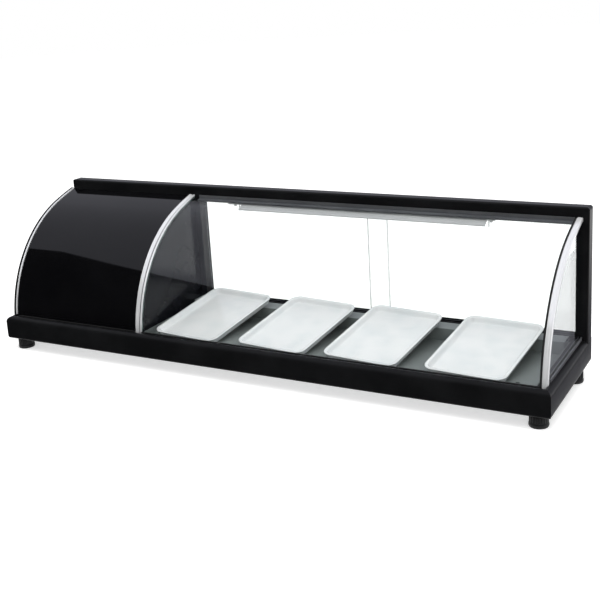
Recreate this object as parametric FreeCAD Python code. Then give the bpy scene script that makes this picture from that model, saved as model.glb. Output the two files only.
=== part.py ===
import FreeCAD, Part
import math
import os

# Countertop refrigerated bakery display case, in millimetres.
# +X runs along the case to the server's left, the customer stands at -Y, +Z is up.
# The origin is on the counter, under the middle of the case.

V = FreeCAD.Vector

# ---------------------------------------------------------------- driving dimensions
LENGTH = 1100.0           # over the base rails
DEPTH = 262.0             # front rail face to rear frame face
HEIGHT = 300.0            # counter to top of the rear frame
FOOT_HEIGHT = 22.0        # counter to underside of the base
BASE_HEIGHT = 45.0        # base rails
RAIL_WIDTH = 30.0         # front and side base rails, face to inner wall
FRAME_DEPTH = 25.0        # rear frame, front to back
POST_WIDTH = 22.0         # upright posts of the rear frame
TOP_RAIL_HEIGHT = 25.0
FRAME_CORNER = 6.0        # rounding of the rear frame's two upper corners
WALL = 2.0                # aluminium extrusion wall
LEDGE_DROP = 5.0          # glass ledge of the base rails, below their crest
CREST_RADIUS = 10.0       # outer top edge of the base rails
HEEL_RADIUS = 5.0         # outer bottom edge of the base rails
CREST_INNER = 12.0        # crest's inner face, from the rail's outer face
GLASS = 4.0               # thickness of every pane
COVER_SKIN = 3.0          # glossy cover over the machine compartment
GLASS_FOOT_SETBACK = 25.0 # curved front, from the front rail's face at the ledge
GLASS_HEAD_Z = 280.5      # curved front, outer surface where it meets the top rail
BEND_FOOT_DEG = 5.6       # lean of the surface's normal at foot, bend change and head
BEND_MID_DEG = 70.0
BEND_HEAD_DEG = 75.5
TRIM_PROUD = 2.5          # chrome mouldings above the curved surface
DIVIDER_OFFSET = 311.0    # machine compartment, from the left end to the divider panel
DIVIDER = 6.0
GAP = 0.4                 # running gap between parts that move and parts that don't

# ---------------------------------------------------------------- derived places
LEFT, RIGHT = -LENGTH / 2, LENGTH / 2
FRONT, BACK = -DEPTH / 2, DEPTH / 2
BASE_Z = FOOT_HEIGHT
CREST_Z = BASE_Z + BASE_HEIGHT
LEDGE_Z = CREST_Z - LEDGE_DROP
FRAME_Y = BACK - FRAME_DEPTH          # front face of the rear frame
FRAME_LEFT = LEFT + 6.0               # left face of the rear frame
RAIL_Z = HEIGHT - TOP_RAIL_HEIGHT     # underside of the top rail
INNER_LEFT, INNER_RIGHT = LEFT + RAIL_WIDTH, RIGHT - RAIL_WIDTH
INNER_FRONT = FRONT + RAIL_WIDTH
DIVIDER_X0 = LEFT + DIVIDER_OFFSET
DIVIDER_X1 = DIVIDER_X0 + DIVIDER
MID_POST_X0 = LEFT + 307.0
MID_POST_X1 = MID_POST_X0 + POST_WIDTH
RIGHT_POST_X0 = RIGHT - POST_WIDTH
CHEEK_GLASS_X0 = RIGHT - 16.0         # inner face of the flat side pane

parts = {}


def box(x0, x1, y0, y1, z0, z1):
    """A box between two corners."""
    return Part.makeBox(x1 - x0, y1 - y0, z1 - z0, V(x0, y0, z0))


def rod(radius, length, base, direction=V(0, 0, 1)):
    """A solid cylinder from base along direction."""
    return Part.makeCylinder(radius, length, base, direction)


def tube(outer, inner, length, base, direction=V(0, 0, 1)):
    """A cylinder with a bore right through."""
    return rod(outer, length, base, direction).cut(rod(inner, length, base, direction))


def prism(points, vector):
    """A polygon swept along a vector."""
    return Part.Face(Part.makePolygon(points + [points[0]])).extrude(vector)


def slot_cutter(length, width, depth, centre, along, through):
    """A round-ended slot cutter, along one direction and through another."""
    half = (length - width) / 2
    ends = [centre + along * s * half for s in (-1, 1)]
    sideways = along.cross(through) * (width / 2)
    core = prism([ends[0] - sideways, ends[1] - sideways, ends[1] + sideways, ends[0] + sideways],
                 through * depth)
    return core.fuse([rod(width / 2, depth, e, through) for e in ends]).removeSplitter()


def group(shapes):
    """Separate solids that share one node."""
    return Part.makeCompound(shapes)


def round_edges(shape, radius, wanted):
    """Fillets the edges that a test picks out."""
    edges = [e for e in shape.Edges if wanted(e)]
    return shape.makeFillet(radius, edges)


def runs_along(edge, axis):
    """True if a straight edge is parallel to an axis vector."""
    if not isinstance(edge.Curve, (Part.Line, Part.LineSegment)):
        return False
    way = edge.Vertexes[-1].Point - edge.Vertexes[0].Point
    return way.Length > 1e-6 and way.cross(axis).Length < 1e-6 * way.Length


# ---------------------------------------------------------------- the curved front
# Two tangent arcs in the YZ plane: a slow bend from the foot to mid height and a
# quicker one up to the top rail. Their radii follow from where the sheet starts and ends.
def unit_normal(angle_deg):
    """Outward normal of the curved front where it leans by this angle."""
    a = math.radians(angle_deg)
    return V(0, -math.cos(a), math.sin(a))


FOOT_POINT = V(0, FRONT + GLASS_FOOT_SETBACK, LEDGE_Z)
HEAD_POINT = V(0, FRAME_Y, GLASS_HEAD_Z)
N_FOOT, N_MID, N_HEAD = (unit_normal(a) for a in (BEND_FOOT_DEG, BEND_MID_DEG, BEND_HEAD_DEG))
STEP_LOW, STEP_HIGH, SPAN = N_MID - N_FOOT, N_HEAD - N_MID, HEAD_POINT - FOOT_POINT
CROSS = STEP_LOW.y * STEP_HIGH.z - STEP_HIGH.y * STEP_LOW.z
R_LOW = (SPAN.y * STEP_HIGH.z - STEP_HIGH.y * SPAN.z) / CROSS
R_HIGH = (STEP_LOW.y * SPAN.z - SPAN.y * STEP_LOW.z) / CROSS
C_LOW = FOOT_POINT - N_FOOT * R_LOW
C_HIGH = C_LOW + N_MID * (R_LOW - R_HIGH)
OVERRUN_FOOT_DEG, OVERRUN_HEAD_DEG = 0.3, 77.3   # the arcs run on past both ends, then are trimmed


def on_front(angle_deg, inset=0.0):
    """Point of the curved front where it leans by this angle, inset into the case."""
    centre, radius = (C_LOW, R_LOW) if angle_deg <= BEND_MID_DEG else (C_HIGH, R_HIGH)
    return centre + unit_normal(angle_deg) * (radius - inset)


def front_edges(inset):
    """The two arcs of the curved front at an inset, foot to head."""
    low = [OVERRUN_FOOT_DEG, (OVERRUN_FOOT_DEG + BEND_MID_DEG) / 2, BEND_MID_DEG]
    arcs = [Part.Arc(*[on_front(a, inset) for a in low]).toShape()]
    centre, radius = C_HIGH, R_HIGH - inset
    high = [BEND_MID_DEG, (BEND_MID_DEG + OVERRUN_HEAD_DEG) / 2, OVERRUN_HEAD_DEG]
    arcs.append(Part.Arc(*[centre + unit_normal(a) * radius for a in high]).toShape())
    return arcs


def trim_to_opening(shape, x0, x1, floor=LEDGE_Z):
    """Keeps what lies above the glass ledge and in front of the rear frame."""
    return shape.common(box(x0, x1, FRONT, FRAME_Y, floor, HEIGHT))


def curved_strip(x0, x1, inset0, inset1):
    """A sheet that follows the curved front between two insets."""
    outer, inner = front_edges(inset0), front_edges(inset1)
    ends = [Part.makeLine(o.Vertexes[i].Point, n.Vertexes[i].Point)
            for o, n, i in ((outer[0], inner[0], 0), (outer[-1], inner[-1], -1))]
    wire = Part.Wire(Part.__sortEdges__(outer + inner + ends))
    return trim_to_opening(Part.Face(wire).extrude(V(x1 - x0, 0, 0)).translated(V(x0, 0, 0)), x0, x1)


def cheek(x0, x1, inset):
    """A flat panel whose front edge follows the curved front."""
    arcs = front_edges(inset)
    foot, head = arcs[0].Vertexes[0].Point, arcs[-1].Vertexes[-1].Point
    back_low, back_high = V(0, FRAME_Y + 30, foot.z), V(0, FRAME_Y + 30, head.z)
    lines = [Part.makeLine(head, back_high), Part.makeLine(back_high, back_low),
             Part.makeLine(back_low, foot)]
    face = Part.Face(Part.Wire(Part.__sortEdges__(arcs + lines)))
    return trim_to_opening(face.extrude(V(x1 - x0, 0, 0)).translated(V(x0, 0, 0)), x0, x1)


# ---------------------------------------------------------------- base frame
def rail_section():
    """Section of a front or side base rail: depth from the outer face along Y, height along Z."""
    crest, heel = CREST_RADIUS, HEEL_RADIUS
    ledge = BASE_HEIGHT - LEDGE_DROP
    diag = math.sqrt(0.5)
    edges = [
        Part.Arc(V(0, heel, 0), V(0, heel * (1 - diag), heel * (1 - diag)), V(0, 0, heel)).toShape(),
        Part.makeLine(V(0, 0, heel), V(0, 0, BASE_HEIGHT - crest)),
        Part.Arc(V(0, 0, BASE_HEIGHT - crest), V(0, crest * (1 - diag), BASE_HEIGHT - crest * (1 - diag)),
                 V(0, crest, BASE_HEIGHT)).toShape(),
    ]
    corners = [V(0, crest, BASE_HEIGHT), V(0, CREST_INNER - 1, BASE_HEIGHT),
               V(0, CREST_INNER, BASE_HEIGHT - 1), V(0, CREST_INNER, ledge),
               V(0, RAIL_WIDTH, ledge), V(0, RAIL_WIDTH, 0), V(0, heel, 0)]
    edges += [Part.makeLine(a, b) for a, b in zip(corners, corners[1:])]
    return Part.Face(Part.Wire(Part.__sortEdges__(edges)))


def rail_hollow(width, height):
    """The chamber inside a base rail, as polygon points."""
    w, bevel = WALL, HEEL_RADIUS - WALL + 1
    return [V(0, w + bevel, w), V(0, width - w, w), V(0, width - w, height - w),
            V(0, w, height - w), V(0, w, w + bevel)]


def base_rail(length, start_neighbour, end_neighbour, width=RAIL_WIDTH):
    """A hollow base rail along +X, outer face on the XZ plane, mitred to its neighbours' widths."""
    if width == RAIL_WIDTH:
        solid = rail_section().extrude(V(length, 0, 0))
        chamber = rail_hollow(width, BASE_HEIGHT - LEDGE_DROP)
    else:
        solid = round_edges(box(0, length, 0, width, 0, BASE_HEIGHT), HEEL_RADIUS,
                            lambda e: runs_along(e, V(1, 0, 0)) and e.CenterOfMass.y < 1
                            and e.CenterOfMass.z < 1)
        chamber = rail_hollow(width, BASE_HEIGHT)
    solid = solid.cut(prism(chamber, V(length, 0, 0)))
    reach = width * 2.0
    for end_x, way, neighbour in ((0.0, 1, start_neighbour), (length, -1, end_neighbour)):
        slope = way * neighbour / width
        wedge = [V(end_x - slope, -1, -1), V(end_x + slope * reach, reach, -1),
                 V(end_x - way * reach, reach, -1), V(end_x - way * reach, -1, -1)]
        solid = solid.cut(prism(wedge, V(0, 0, BASE_HEIGHT + 2)))
    return solid


def placed(shape, x, y, z, turn_deg=0.0):
    """A copy turned about Z at the origin, then moved."""
    copy = shape.copy()
    copy.rotate(V(0, 0, 0), V(0, 0, 1), turn_deg)
    copy.translate(V(x, y, z))
    return copy


FOOT_FRONT_X, FOOT_FRONT_Y = RIGHT - 25.0, FRONT + 23.0
FOOT_REAR_X, FOOT_REAR_Y = RIGHT - 18.0, BACK - 47.0
FOOT_CENTRES = {
    "front_left": (-FOOT_FRONT_X, FOOT_FRONT_Y),
    "front_right": (FOOT_FRONT_X, FOOT_FRONT_Y),
    "rear_left": (-FOOT_REAR_X, FOOT_REAR_Y),
    "rear_right": (FOOT_REAR_X, FOOT_REAR_Y),
}
STUD_RADIUS = 4.0
STUD_FIT = 0.06
KEY_Z, KEY_HEIGHT, KEY_ARM = BASE_Z + 6.2, 12.0, 64.0


def make_base():
    """Four mitred rails, the corner keys inside them and the bottom pan."""
    rails = {
        "front_base_rail": placed(base_rail(LENGTH, RAIL_WIDTH, RAIL_WIDTH), LEFT, FRONT, BASE_Z),
        "right_base_rail": placed(base_rail(DEPTH, RAIL_WIDTH, FRAME_DEPTH), RIGHT, FRONT, BASE_Z, 90),
        "left_base_rail": placed(base_rail(DEPTH, FRAME_DEPTH, RAIL_WIDTH), LEFT, BACK, BASE_Z, -90),
        "rear_base_rail": placed(base_rail(LENGTH, RAIL_WIDTH, RAIL_WIDTH, FRAME_DEPTH),
                                 RIGHT, BACK, BASE_Z, 180),
    }
    stud_holes = [rod(STUD_RADIUS + 1, WALL + 2, V(x, y, BASE_Z - 1)) for x, y in FOOT_CENTRES.values()]
    for name, rail in rails.items():
        parts[name] = rail.cut(stud_holes)

    slack = 0.2
    keys = []
    for x, y in FOOT_CENTRES.values():
        across, inward = (1 if x < 0 else -1), (1 if y < 0 else -1)
        corner = V(across * LEFT, inward * FRONT, KEY_Z)
        end_depth = RAIL_WIDTH if y < 0 else FRAME_DEPTH
        long_arm, near = KEY_ARM, WALL + slack
        along_end = box(near, long_arm, near, end_depth - near, 0, KEY_HEIGHT)
        along_side = box(near, RAIL_WIDTH - near, near, long_arm, 0, KEY_HEIGHT)
        key = along_end.fuse(along_side).removeSplitter()
        if across < 0:
            key = key.mirror(V(0, 0, 0), V(1, 0, 0))
        if inward < 0:
            key = key.mirror(V(0, 0, 0), V(0, 1, 0))
        key = key.translated(corner)
        keys.append(key.cut(rod(STUD_RADIUS + STUD_FIT, KEY_HEIGHT + 2, V(x, y, KEY_Z - 1))))
    parts["corner_keys"] = group(keys)

    sheet, upstand = 1.5, 10.0
    pan = box(INNER_LEFT, INNER_RIGHT, INNER_FRONT, FRAME_Y, BASE_Z + 2, BASE_Z + 2 + upstand)
    pan = pan.cut(box(INNER_LEFT + sheet, INNER_RIGHT - sheet, INNER_FRONT + sheet, FRAME_Y - sheet,
                      BASE_Z + 2 + sheet, BASE_Z + 3 + upstand))
    vents = [slot_cutter(70, 6, 4, V(DIVIDER_X0 - 60 - 80 * i, 70 - 14 * j, BASE_Z + 1), V(1, 0, 0), V(0, 0, 1))
             for i in range(3) for j in range(3)]
    drain = rod(6, 6, V(DRAIN_X, DRAIN_Y, BASE_Z))
    parts["bottom_pan"] = pan.cut(vents + [drain])
    return rails


DRAIN_X, DRAIN_Y = INNER_RIGHT - 40, INNER_FRONT + 30


def make_feet():
    """A moulded adjusting foot with its threaded stud, one per corner."""
    pad_top = FOOT_HEIGHT - GAP
    outline = [V(0, 0, 0), V(14.5, 0, 0), V(16, 0, 1.5), V(16.2, 0, 5), V(15.0, 0, 8),
               V(14.6, 0, pad_top - 1), V(13.6, 0, pad_top), V(0, 0, pad_top)]
    face = Part.Face(Part.makePolygon(outline + [outline[0]]))
    pad = face.revolve(V(0, 0, 0), V(0, 0, 1), 360)
    ribs, rib_radius = 20, 0.9
    grip = [rod(rib_radius, pad_top - 9.5, V(14.6 * math.cos(a), 14.6 * math.sin(a), 8.0))
            for a in (2 * math.pi * i / ribs for i in range(ribs))]
    stud = rod(STUD_RADIUS, KEY_Z + KEY_HEIGHT + 8.0 - pad_top + 2, V(0, 0, pad_top - 2))
    foot = pad.fuse(grip + [stud]).removeSplitter()
    for name, (x, y) in FOOT_CENTRES.items():
        parts["foot_" + name] = foot.translated(V(x, y, 0))


# ---------------------------------------------------------------- rear frame
def make_rear_frame(base_rails):
    """Top rail, three posts and the two sliding-door tracks."""
    soft = 4.0
    rail = box(FRAME_LEFT, RIGHT, FRAME_Y, BACK, RAIL_Z, HEIGHT)
    rail = round_edges(rail, soft, lambda e: runs_along(e, V(1, 0, 0)) and e.CenterOfMass.z > HEIGHT - 1)
    rail = rail.cut(box(LEFT, RIGHT, FRAME_Y + WALL, BACK - WALL, RAIL_Z, HEIGHT - WALL))
    mitres, corners = [], []
    for x, way in ((FRAME_LEFT, 1), (RIGHT, -1)):
        centre = V(x + way * FRAME_CORNER, FRAME_Y - 1, HEIGHT - FRAME_CORNER)
        block = box(min(x, centre.x), max(x, centre.x), FRAME_Y - 1, BACK + 1, centre.z, HEIGHT)
        corners.append(block.cut(rod(FRAME_CORNER, FRAME_DEPTH + 2, centre, V(0, 1, 0))))
        mitres.append(prism([V(x - way * 2, FRAME_Y - 1, HEIGHT + 2 * TOP_RAIL_HEIGHT / POST_WIDTH),
                             V(x + way * POST_WIDTH, FRAME_Y - 1, RAIL_Z),
                             V(x + way * POST_WIDTH, FRAME_Y - 1, 0),
                             V(x - way * 2, FRAME_Y - 1, 0)], V(0, FRAME_DEPTH + 2, 0)))
    parts["top_rail"] = rail.cut(mitres + corners)

    base = base_rails["right_base_rail"].fuse([base_rails["left_base_rail"], base_rails["rear_base_rail"]])
    for name, x0, cope in (("left_rear_post", FRAME_LEFT, mitres[0]), ("right_rear_post", RIGHT - POST_WIDTH, mitres[1])):
        post = box(x0, x0 + POST_WIDTH, FRAME_Y, BACK, LEDGE_Z - 1, HEIGHT)
        outer = FRAME_LEFT if x0 == FRAME_LEFT else RIGHT
        post = round_edges(post, 3.0, lambda e: runs_along(e, V(0, 0, 1)) and abs(e.CenterOfMass.x - outer) < 1)
        post = post.cut(box(x0 + WALL, x0 + POST_WIDTH - WALL, FRAME_Y + WALL, BACK - WALL,
                            LEDGE_Z - 2, HEIGHT + 1))
        post = post.common(cope).cut([base] + corners)
        parts[name] = max(post.Solids, key=lambda s: s.Volume)
    post = box(MID_POST_X0, MID_POST_X1, FRAME_Y, BACK, CREST_Z, RAIL_Z)
    post = post.cut(box(MID_POST_X0 + WALL, MID_POST_X1 - WALL, FRAME_Y + WALL, BACK - WALL, CREST_Z, RAIL_Z))
    parts["middle_rear_post"] = post

    # Both tracks are E-shaped extrusions, the upper one turned over, with two glass grooves each.
    x0, x1 = MID_POST_X1, RIGHT_POST_X0
    lower = box(x0, x1, TRACK_Y0, TRACK_Y1, CREST_Z, LOWER_TRACK_TOP)
    upper = box(x0, x1, TRACK_Y0, TRACK_Y1, UPPER_TRACK_BOTTOM, HEIGHT - WALL)
    for y0, y1 in GROOVES:
        lower = lower.cut(box(x0, x1, y0, y1, CREST_Z + SILL_WEB, LOWER_TRACK_TOP))
        upper = upper.cut(box(x0, x1, y0, y1, UPPER_TRACK_BOTTOM, HEIGHT - WALL - TRACK_WEB))
    parts["lower_door_track"] = lower
    parts["upper_door_track"] = upper


LIP_Z = GLASS_HEAD_Z - GLASS - 3.0        # the head channel's lip rises from here to the pane's inner face
TRACK_Y0, TRACK_Y1 = FRAME_Y + WALL, BACK - WALL
TRACK_WEB = 2.5
SILL_WEB = 1.2
FIN = 1.6
GROOVE = (TRACK_Y1 - TRACK_Y0 - 3 * FIN) / 2
GROOVES = [(TRACK_Y0 + FIN, TRACK_Y0 + FIN + GROOVE),
           (TRACK_Y0 + 2 * FIN + GROOVE, TRACK_Y0 + 2 * FIN + 2 * GROOVE)]
LOWER_TRACK_TOP = CREST_Z + 6.0
UPPER_TRACK_BOTTOM = RAIL_Z - 3.5


def make_doors():
    """Two frameless panes with a ground finger recess, each on a pair of plastic glides."""
    meeting_x, half_overlap = LEFT + 710.0, 18.0
    glide_gap, glide_sole = GAP, 1.2
    glass_z0 = CREST_Z + SILL_WEB + glide_gap + glide_sole
    glass_z1 = UPPER_TRACK_BOTTOM + 12.5
    places = {"left": (MID_POST_X1 + GAP, meeting_x + half_overlap, GROOVES[1], LEFT + 402.0),
              "right": (meeting_x - half_overlap, RIGHT_POST_X0 - GAP, GROOVES[0], RIGHT - 82.0)}
    for side, (x0, x1, (g0, g1), pull_x) in places.items():
        y_mid = (g0 + g1) / 2
        pane = box(x0, x1, y_mid - GLASS / 2, y_mid + GLASS / 2, glass_z0, glass_z1)
        pane = round_edges(pane, 0.6, lambda e: runs_along(e, V(0, 0, 1)))
        recess = slot_cutter(60, 22, 1.5, V(pull_x, y_mid + GLASS / 2 - 1.5, (glass_z0 + glass_z1) / 2),
                             V(0, 0, 1), V(0, 1, 0))
        parts["sliding_door_" + side] = pane.cut(recess)
        glides = []
        for gx in (x0 + 40, x1 - 80):
            shoe = box(gx, gx + 40, g0 + GAP, g1 - GAP, glass_z0 - glide_sole, glass_z0 + 3)
            glides.append(shoe.cut(box(gx, gx + 40, y_mid - GLASS / 2, y_mid + GLASS / 2, glass_z0, glass_z0 + 4)))
        parts["door_glides_" + side] = group(glides)


# ---------------------------------------------------------------- shells, glass and trim
COVER_TRIM = (DIVIDER_X0 - 7.0, DIVIDER_X0 + 1.6)           # wide moulding beside the glossy cover
PANE_TRIM = (DIVIDER_X1 - 2.2, DIVIDER_X1 + 1.1)            # narrow moulding beside the clear pane
LEFT_TRIM = (LEFT + 5.0, LEFT + 10.0)
RIGHT_TRIM = (RIGHT - 21.0, RIGHT - 10.8)
SEAL_STRIP = (RIGHT_TRIM[0] - 3.2, RIGHT_TRIM[0])
STRIP = 1.2


def head_channel():
    """A grey strip on the rear frame's face with a lip that the curved pane's head rests on."""
    x0, x1 = MID_POST_X1 + 0.2, SEAL_STRIP[0] - 0.2
    lip = box(x0, x1, FRAME_Y - 8, FRAME_Y, LIP_Z - 2, LIP_Z + 3).cut(curved_strip(LEFT, RIGHT, -5, GLASS + 0.1))
    strip = box(x0, x1, FRAME_Y - STRIP, FRAME_Y, UPPER_TRACK_BOTTOM, GLASS_HEAD_Z + 2)
    return strip.fuse(lip).removeSplitter()


def moulding(x0, x1, flange=None):
    """A chrome moulding along the curved front: two courses give it a rounded back."""
    shoulder, crown = TRIM_PROUD - 0.9, 1.1
    strip = curved_strip(x0, x1, -shoulder, 0).fuse(curved_strip(x0 + crown, x1 - crown, -TRIM_PROUD, -shoulder))
    if flange:
        strip = strip.fuse(curved_strip(flange[0], flange[1], -shoulder, 3.5))
    return strip.removeSplitter()


def make_front(base_rails):
    """Cover, curved pane, divider, end panels, side pane and the chrome mouldings."""
    rails = base_rails["front_base_rail"].fuse([base_rails["left_base_rail"], base_rails["right_base_rail"]])

    parts["compressor_cover"] = curved_strip(LEFT_TRIM[0], DIVIDER_X0 - 0.3, 0, COVER_SKIN).cut(rails)
    channel = head_channel()
    parts["curved_front_glass"] = curved_strip(DIVIDER_X1 + 0.3, CHEEK_GLASS_X0 - 0.5, 0, GLASS).cut(channel)

    divider = cheek(DIVIDER_X0, DIVIDER_X1, 0)
    flange = box(DIVIDER_X1, MID_POST_X1, FRAME_Y - 1.5, FRAME_Y, CREST_Z + 1, LIP_Z - 3)
    line_holes = [rod(4.0, DIVIDER + 2, V(DIVIDER_X0 - 1, y, EVAPORATOR_Z), V(1, 0, 0))
                  for y in (EVAPORATOR_Y0, EVAPORATOR_Y1)]
    below = box(DIVIDER_X0, DIVIDER_X1, INNER_FRONT, FRAME_Y, BASE_Z + 3.5, LEDGE_Z)
    below = below.cut(box(DIVIDER_X0, DIVIDER_X1, INNER_FRONT, INNER_FRONT + 1.5, BASE_Z, BASE_Z + 12)).cut(
        box(DIVIDER_X0, DIVIDER_X1, FRAME_Y - 1.5, FRAME_Y, BASE_Z, BASE_Z + 12))
    divider = divider.fuse([below, flange]).removeSplitter()
    parts["divider_panel"] = divider.cut(line_holes)

    side = cheek(LEFT + 1.0, LEFT_TRIM[0], -TRIM_PROUD + 0.5).cut(rails)
    louvres = [slot_cutter(90, 6, 6, V(LEFT, 45, LEDGE_Z + 45 + 14 * i), V(0, 1, 0), V(1, 0, 0)) for i in range(8)]
    side = side.cut(louvres)
    parts["left_side_panel"] = max(side.Solids, key=lambda s: s.Volume)

    parts["left_arc_trim"] = moulding(*LEFT_TRIM).cut(rails)
    parts["cover_arc_trim"] = moulding(*COVER_TRIM)
    parts["pane_arc_trim"] = moulding(*PANE_TRIM)
    right = moulding(RIGHT_TRIM[0], RIGHT_TRIM[1], (CHEEK_GLASS_X0 + GLASS, RIGHT_TRIM[1]))
    parts["right_arc_trim"] = right.cut(rails)

    seal_arc = curved_strip(SEAL_STRIP[0], SEAL_STRIP[1], -1.5, 0)
    foot_seal = box(LEFT_TRIM[1] + 2, COVER_TRIM[0], FRONT + GLASS_FOOT_SETBACK - 3, FRONT + GLASS_FOOT_SETBACK,
                    LEDGE_Z, LEDGE_Z + 2.5)
    foot_seal_pane = box(PANE_TRIM[1], SEAL_STRIP[0], FRONT + GLASS_FOOT_SETBACK - 3,
                         FRONT + GLASS_FOOT_SETBACK, LEDGE_Z, LEDGE_Z + 2.5)
    hug = curved_strip(LEFT, RIGHT, 0, 8)
    parts["glass_seals"] = group([seal_arc, foot_seal.cut(hug), foot_seal_pane.cut(hug)])

    x0 = CHEEK_GLASS_X0
    pane = cheek(x0, x0 + GLASS, 0).cut(box(x0 - 1, x0 + 5, FRONT, FRAME_Y + 1, LEDGE_Z - 1, LEDGE_Z + 1.5))
    parts["side_glass"] = max(pane.Solids, key=lambda s: s.Volume)
    channel_top, wall = LEDGE_Z + 11.0, 1.5
    y0 = FRONT + GLASS_FOOT_SETBACK + 12
    inner = box(x0 - wall, x0 + GLASS, y0, FRAME_Y, LEDGE_Z, channel_top)
    inner = inner.cut(box(x0, x0 + GLASS, y0, FRAME_Y, LEDGE_Z + wall, channel_top))
    outer = box(x0 + GLASS, x0 + GLASS + wall, y0, FRAME_Y, CREST_Z, channel_top)
    parts["glass_channels"] = group([inner, outer, channel])


# ---------------------------------------------------------------- cold deck and plates
FLOOR_Z = BASE_Z + 28.0                   # upper face of the display floor
SHELF_RISE = 22.5                         # rear shelf above the floor
SHELF_Y = FRONT + 203.0                   # shelf's front edge
DECK_X0, DECK_X1 = DIVIDER_X1 + 0.5, INNER_RIGHT - 0.5
DECK_Y0, DECK_Y1 = INNER_FRONT + 0.5, FRAME_Y - 0.5


def return_bend(start, end, way, radius):
    """A half turn of round tube from one point to another, bulging along way."""
    middle, half = (start + end) * 0.5, (end - start).Length / 2
    path = Part.Wire(Part.Arc(start, middle + way * half, end).toShape())
    profile = Part.Wire(Part.makeCircle(radius, start, way))
    return path.makePipeShell([profile], True, True)


def coil(points, axis, low, high, radius, first_low=None):
    """Parallel straight passes of tube along an axis, joined end to end by half turns."""
    begin = low if first_low is None else first_low
    pieces = []
    for i, point in enumerate(points):
        a = begin if i in (0, len(points) - 1) else low
        pieces.append(rod(radius, high - a, point + axis * a, axis))
        if i < len(points) - 1:
            at, way = (high, axis) if i % 2 == 0 else (low, axis * -1)
            pieces.append(return_bend(point + axis * at, points[i + 1] + axis * at, way, radius))
    return pieces[0].fuse(pieces[1:]).removeSplitter()


EVAPORATOR_Z = FLOOR_Z - 4.25
EVAPORATOR_R = 3.0
EVAPORATOR_PASSES = 6
EVAPORATOR_Y0, EVAPORATOR_Y1 = DECK_Y0 + 18, DECK_Y1 - 18


def make_deck():
    """Insulation, cooling tube, floor tray and the raised rear shelf."""
    sheet = 1.0
    foam_top = FLOOR_Z - sheet - 6.5
    foam = box(DECK_X0, DECK_X1 - 2, DECK_Y0 + 2, DECK_Y1 - 2, BASE_Z + 3.5, foam_top)
    parts["foam_insulation"] = foam.cut(rod(8, 40, V(DRAIN_X, DRAIN_Y, BASE_Z)))
    pitch = (EVAPORATOR_Y1 - EVAPORATOR_Y0) / (EVAPORATOR_PASSES - 1)
    passes = [V(0, EVAPORATOR_Y0 + i * pitch, EVAPORATOR_Z) for i in range(EVAPORATOR_PASSES)]
    parts["evaporator_tube"] = coil(passes, V(1, 0, 0), DECK_X0 + 45, DECK_X1 - 70, EVAPORATOR_R,
                                    DIVIDER_X0 - 8)
    tray = box(DECK_X0, DECK_X1, DECK_Y0, DECK_Y1, FLOOR_Z - sheet, LEDGE_Z)
    tray = tray.cut(box(DECK_X0 + sheet, DECK_X1 - sheet, DECK_Y0 + sheet, DECK_Y1 - sheet, FLOOR_Z, LEDGE_Z + 1))
    spout = tube(5.5, 4.0, FLOOR_Z - BASE_Z - 1.5, V(DRAIN_X, DRAIN_Y, BASE_Z + 1))
    tray = tray.cut(rod(4.0, 5, V(DRAIN_X, DRAIN_Y, FLOOR_Z - 3)))
    parts["floor_tray"] = tray.fuse(spout).removeSplitter()
    top = box(DECK_X0 + 2, DECK_X1 - 2, SHELF_Y, DECK_Y1 - sheet - 0.5, FLOOR_Z + SHELF_RISE - sheet,
              FLOOR_Z + SHELF_RISE)
    skirt = box(DECK_X0 + 2, DECK_X1 - 2, SHELF_Y, SHELF_Y + sheet, FLOOR_Z, FLOOR_Z + SHELF_RISE)
    parts["rear_plate_shelf"] = top.fuse(skirt).removeSplitter()


PLATE_LENGTH, PLATE_WIDTH, PLATE_HEIGHT = 198.0, 144.5, 12.0
PLATE_DRAFT = 5.0                        # how far the wall flares from foot to rim
PLATE_FOOT_Y = FRONT + 44.6               # front edge of the plate's foot
# Plates are set down by hand, all a little askew: centre along the case, turn about the vertical.
PLATE_PLACES = ((LEFT + 410.0, -6.5), (LEFT + 592.5, -6.5), (LEFT + 766.0, -6.0), (LEFT + 952.0, -4.5))
SKEW_CLEARANCE = 1.3                      # a turned plate rests on the shelf by one corner


def rounded_rectangle(width, length, radius, z, inset=0.0):
    """A horizontal rounded-rectangle wire centred on the origin."""
    w, h, r = width / 2 - inset, length / 2 - inset, max(radius - inset, 1.0)
    k = r * (1 - math.sqrt(0.5))
    edges = []
    corners = ((1, 1), (-1, 1), (-1, -1), (1, -1))
    for sx, sy in corners:
        a, b = V(sx * w, sy * (h - r), z), V(sx * (w - r), sy * h, z)
        m = V(sx * (w - k), sy * (h - k), z)
        edges.append(Part.Arc(a, m, b).toShape())
    edges.append(Part.makeLine(V(w - r, h, z), V(-(w - r), h, z)))
    edges.append(Part.makeLine(V(-w, h - r, z), V(-w, -(h - r), z)))
    edges.append(Part.makeLine(V(-(w - r), -h, z), V(w - r, -h, z)))
    edges.append(Part.makeLine(V(w, -(h - r), z), V(w, h - r, z)))
    return Part.Wire(Part.__sortEdges__(edges))


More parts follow.
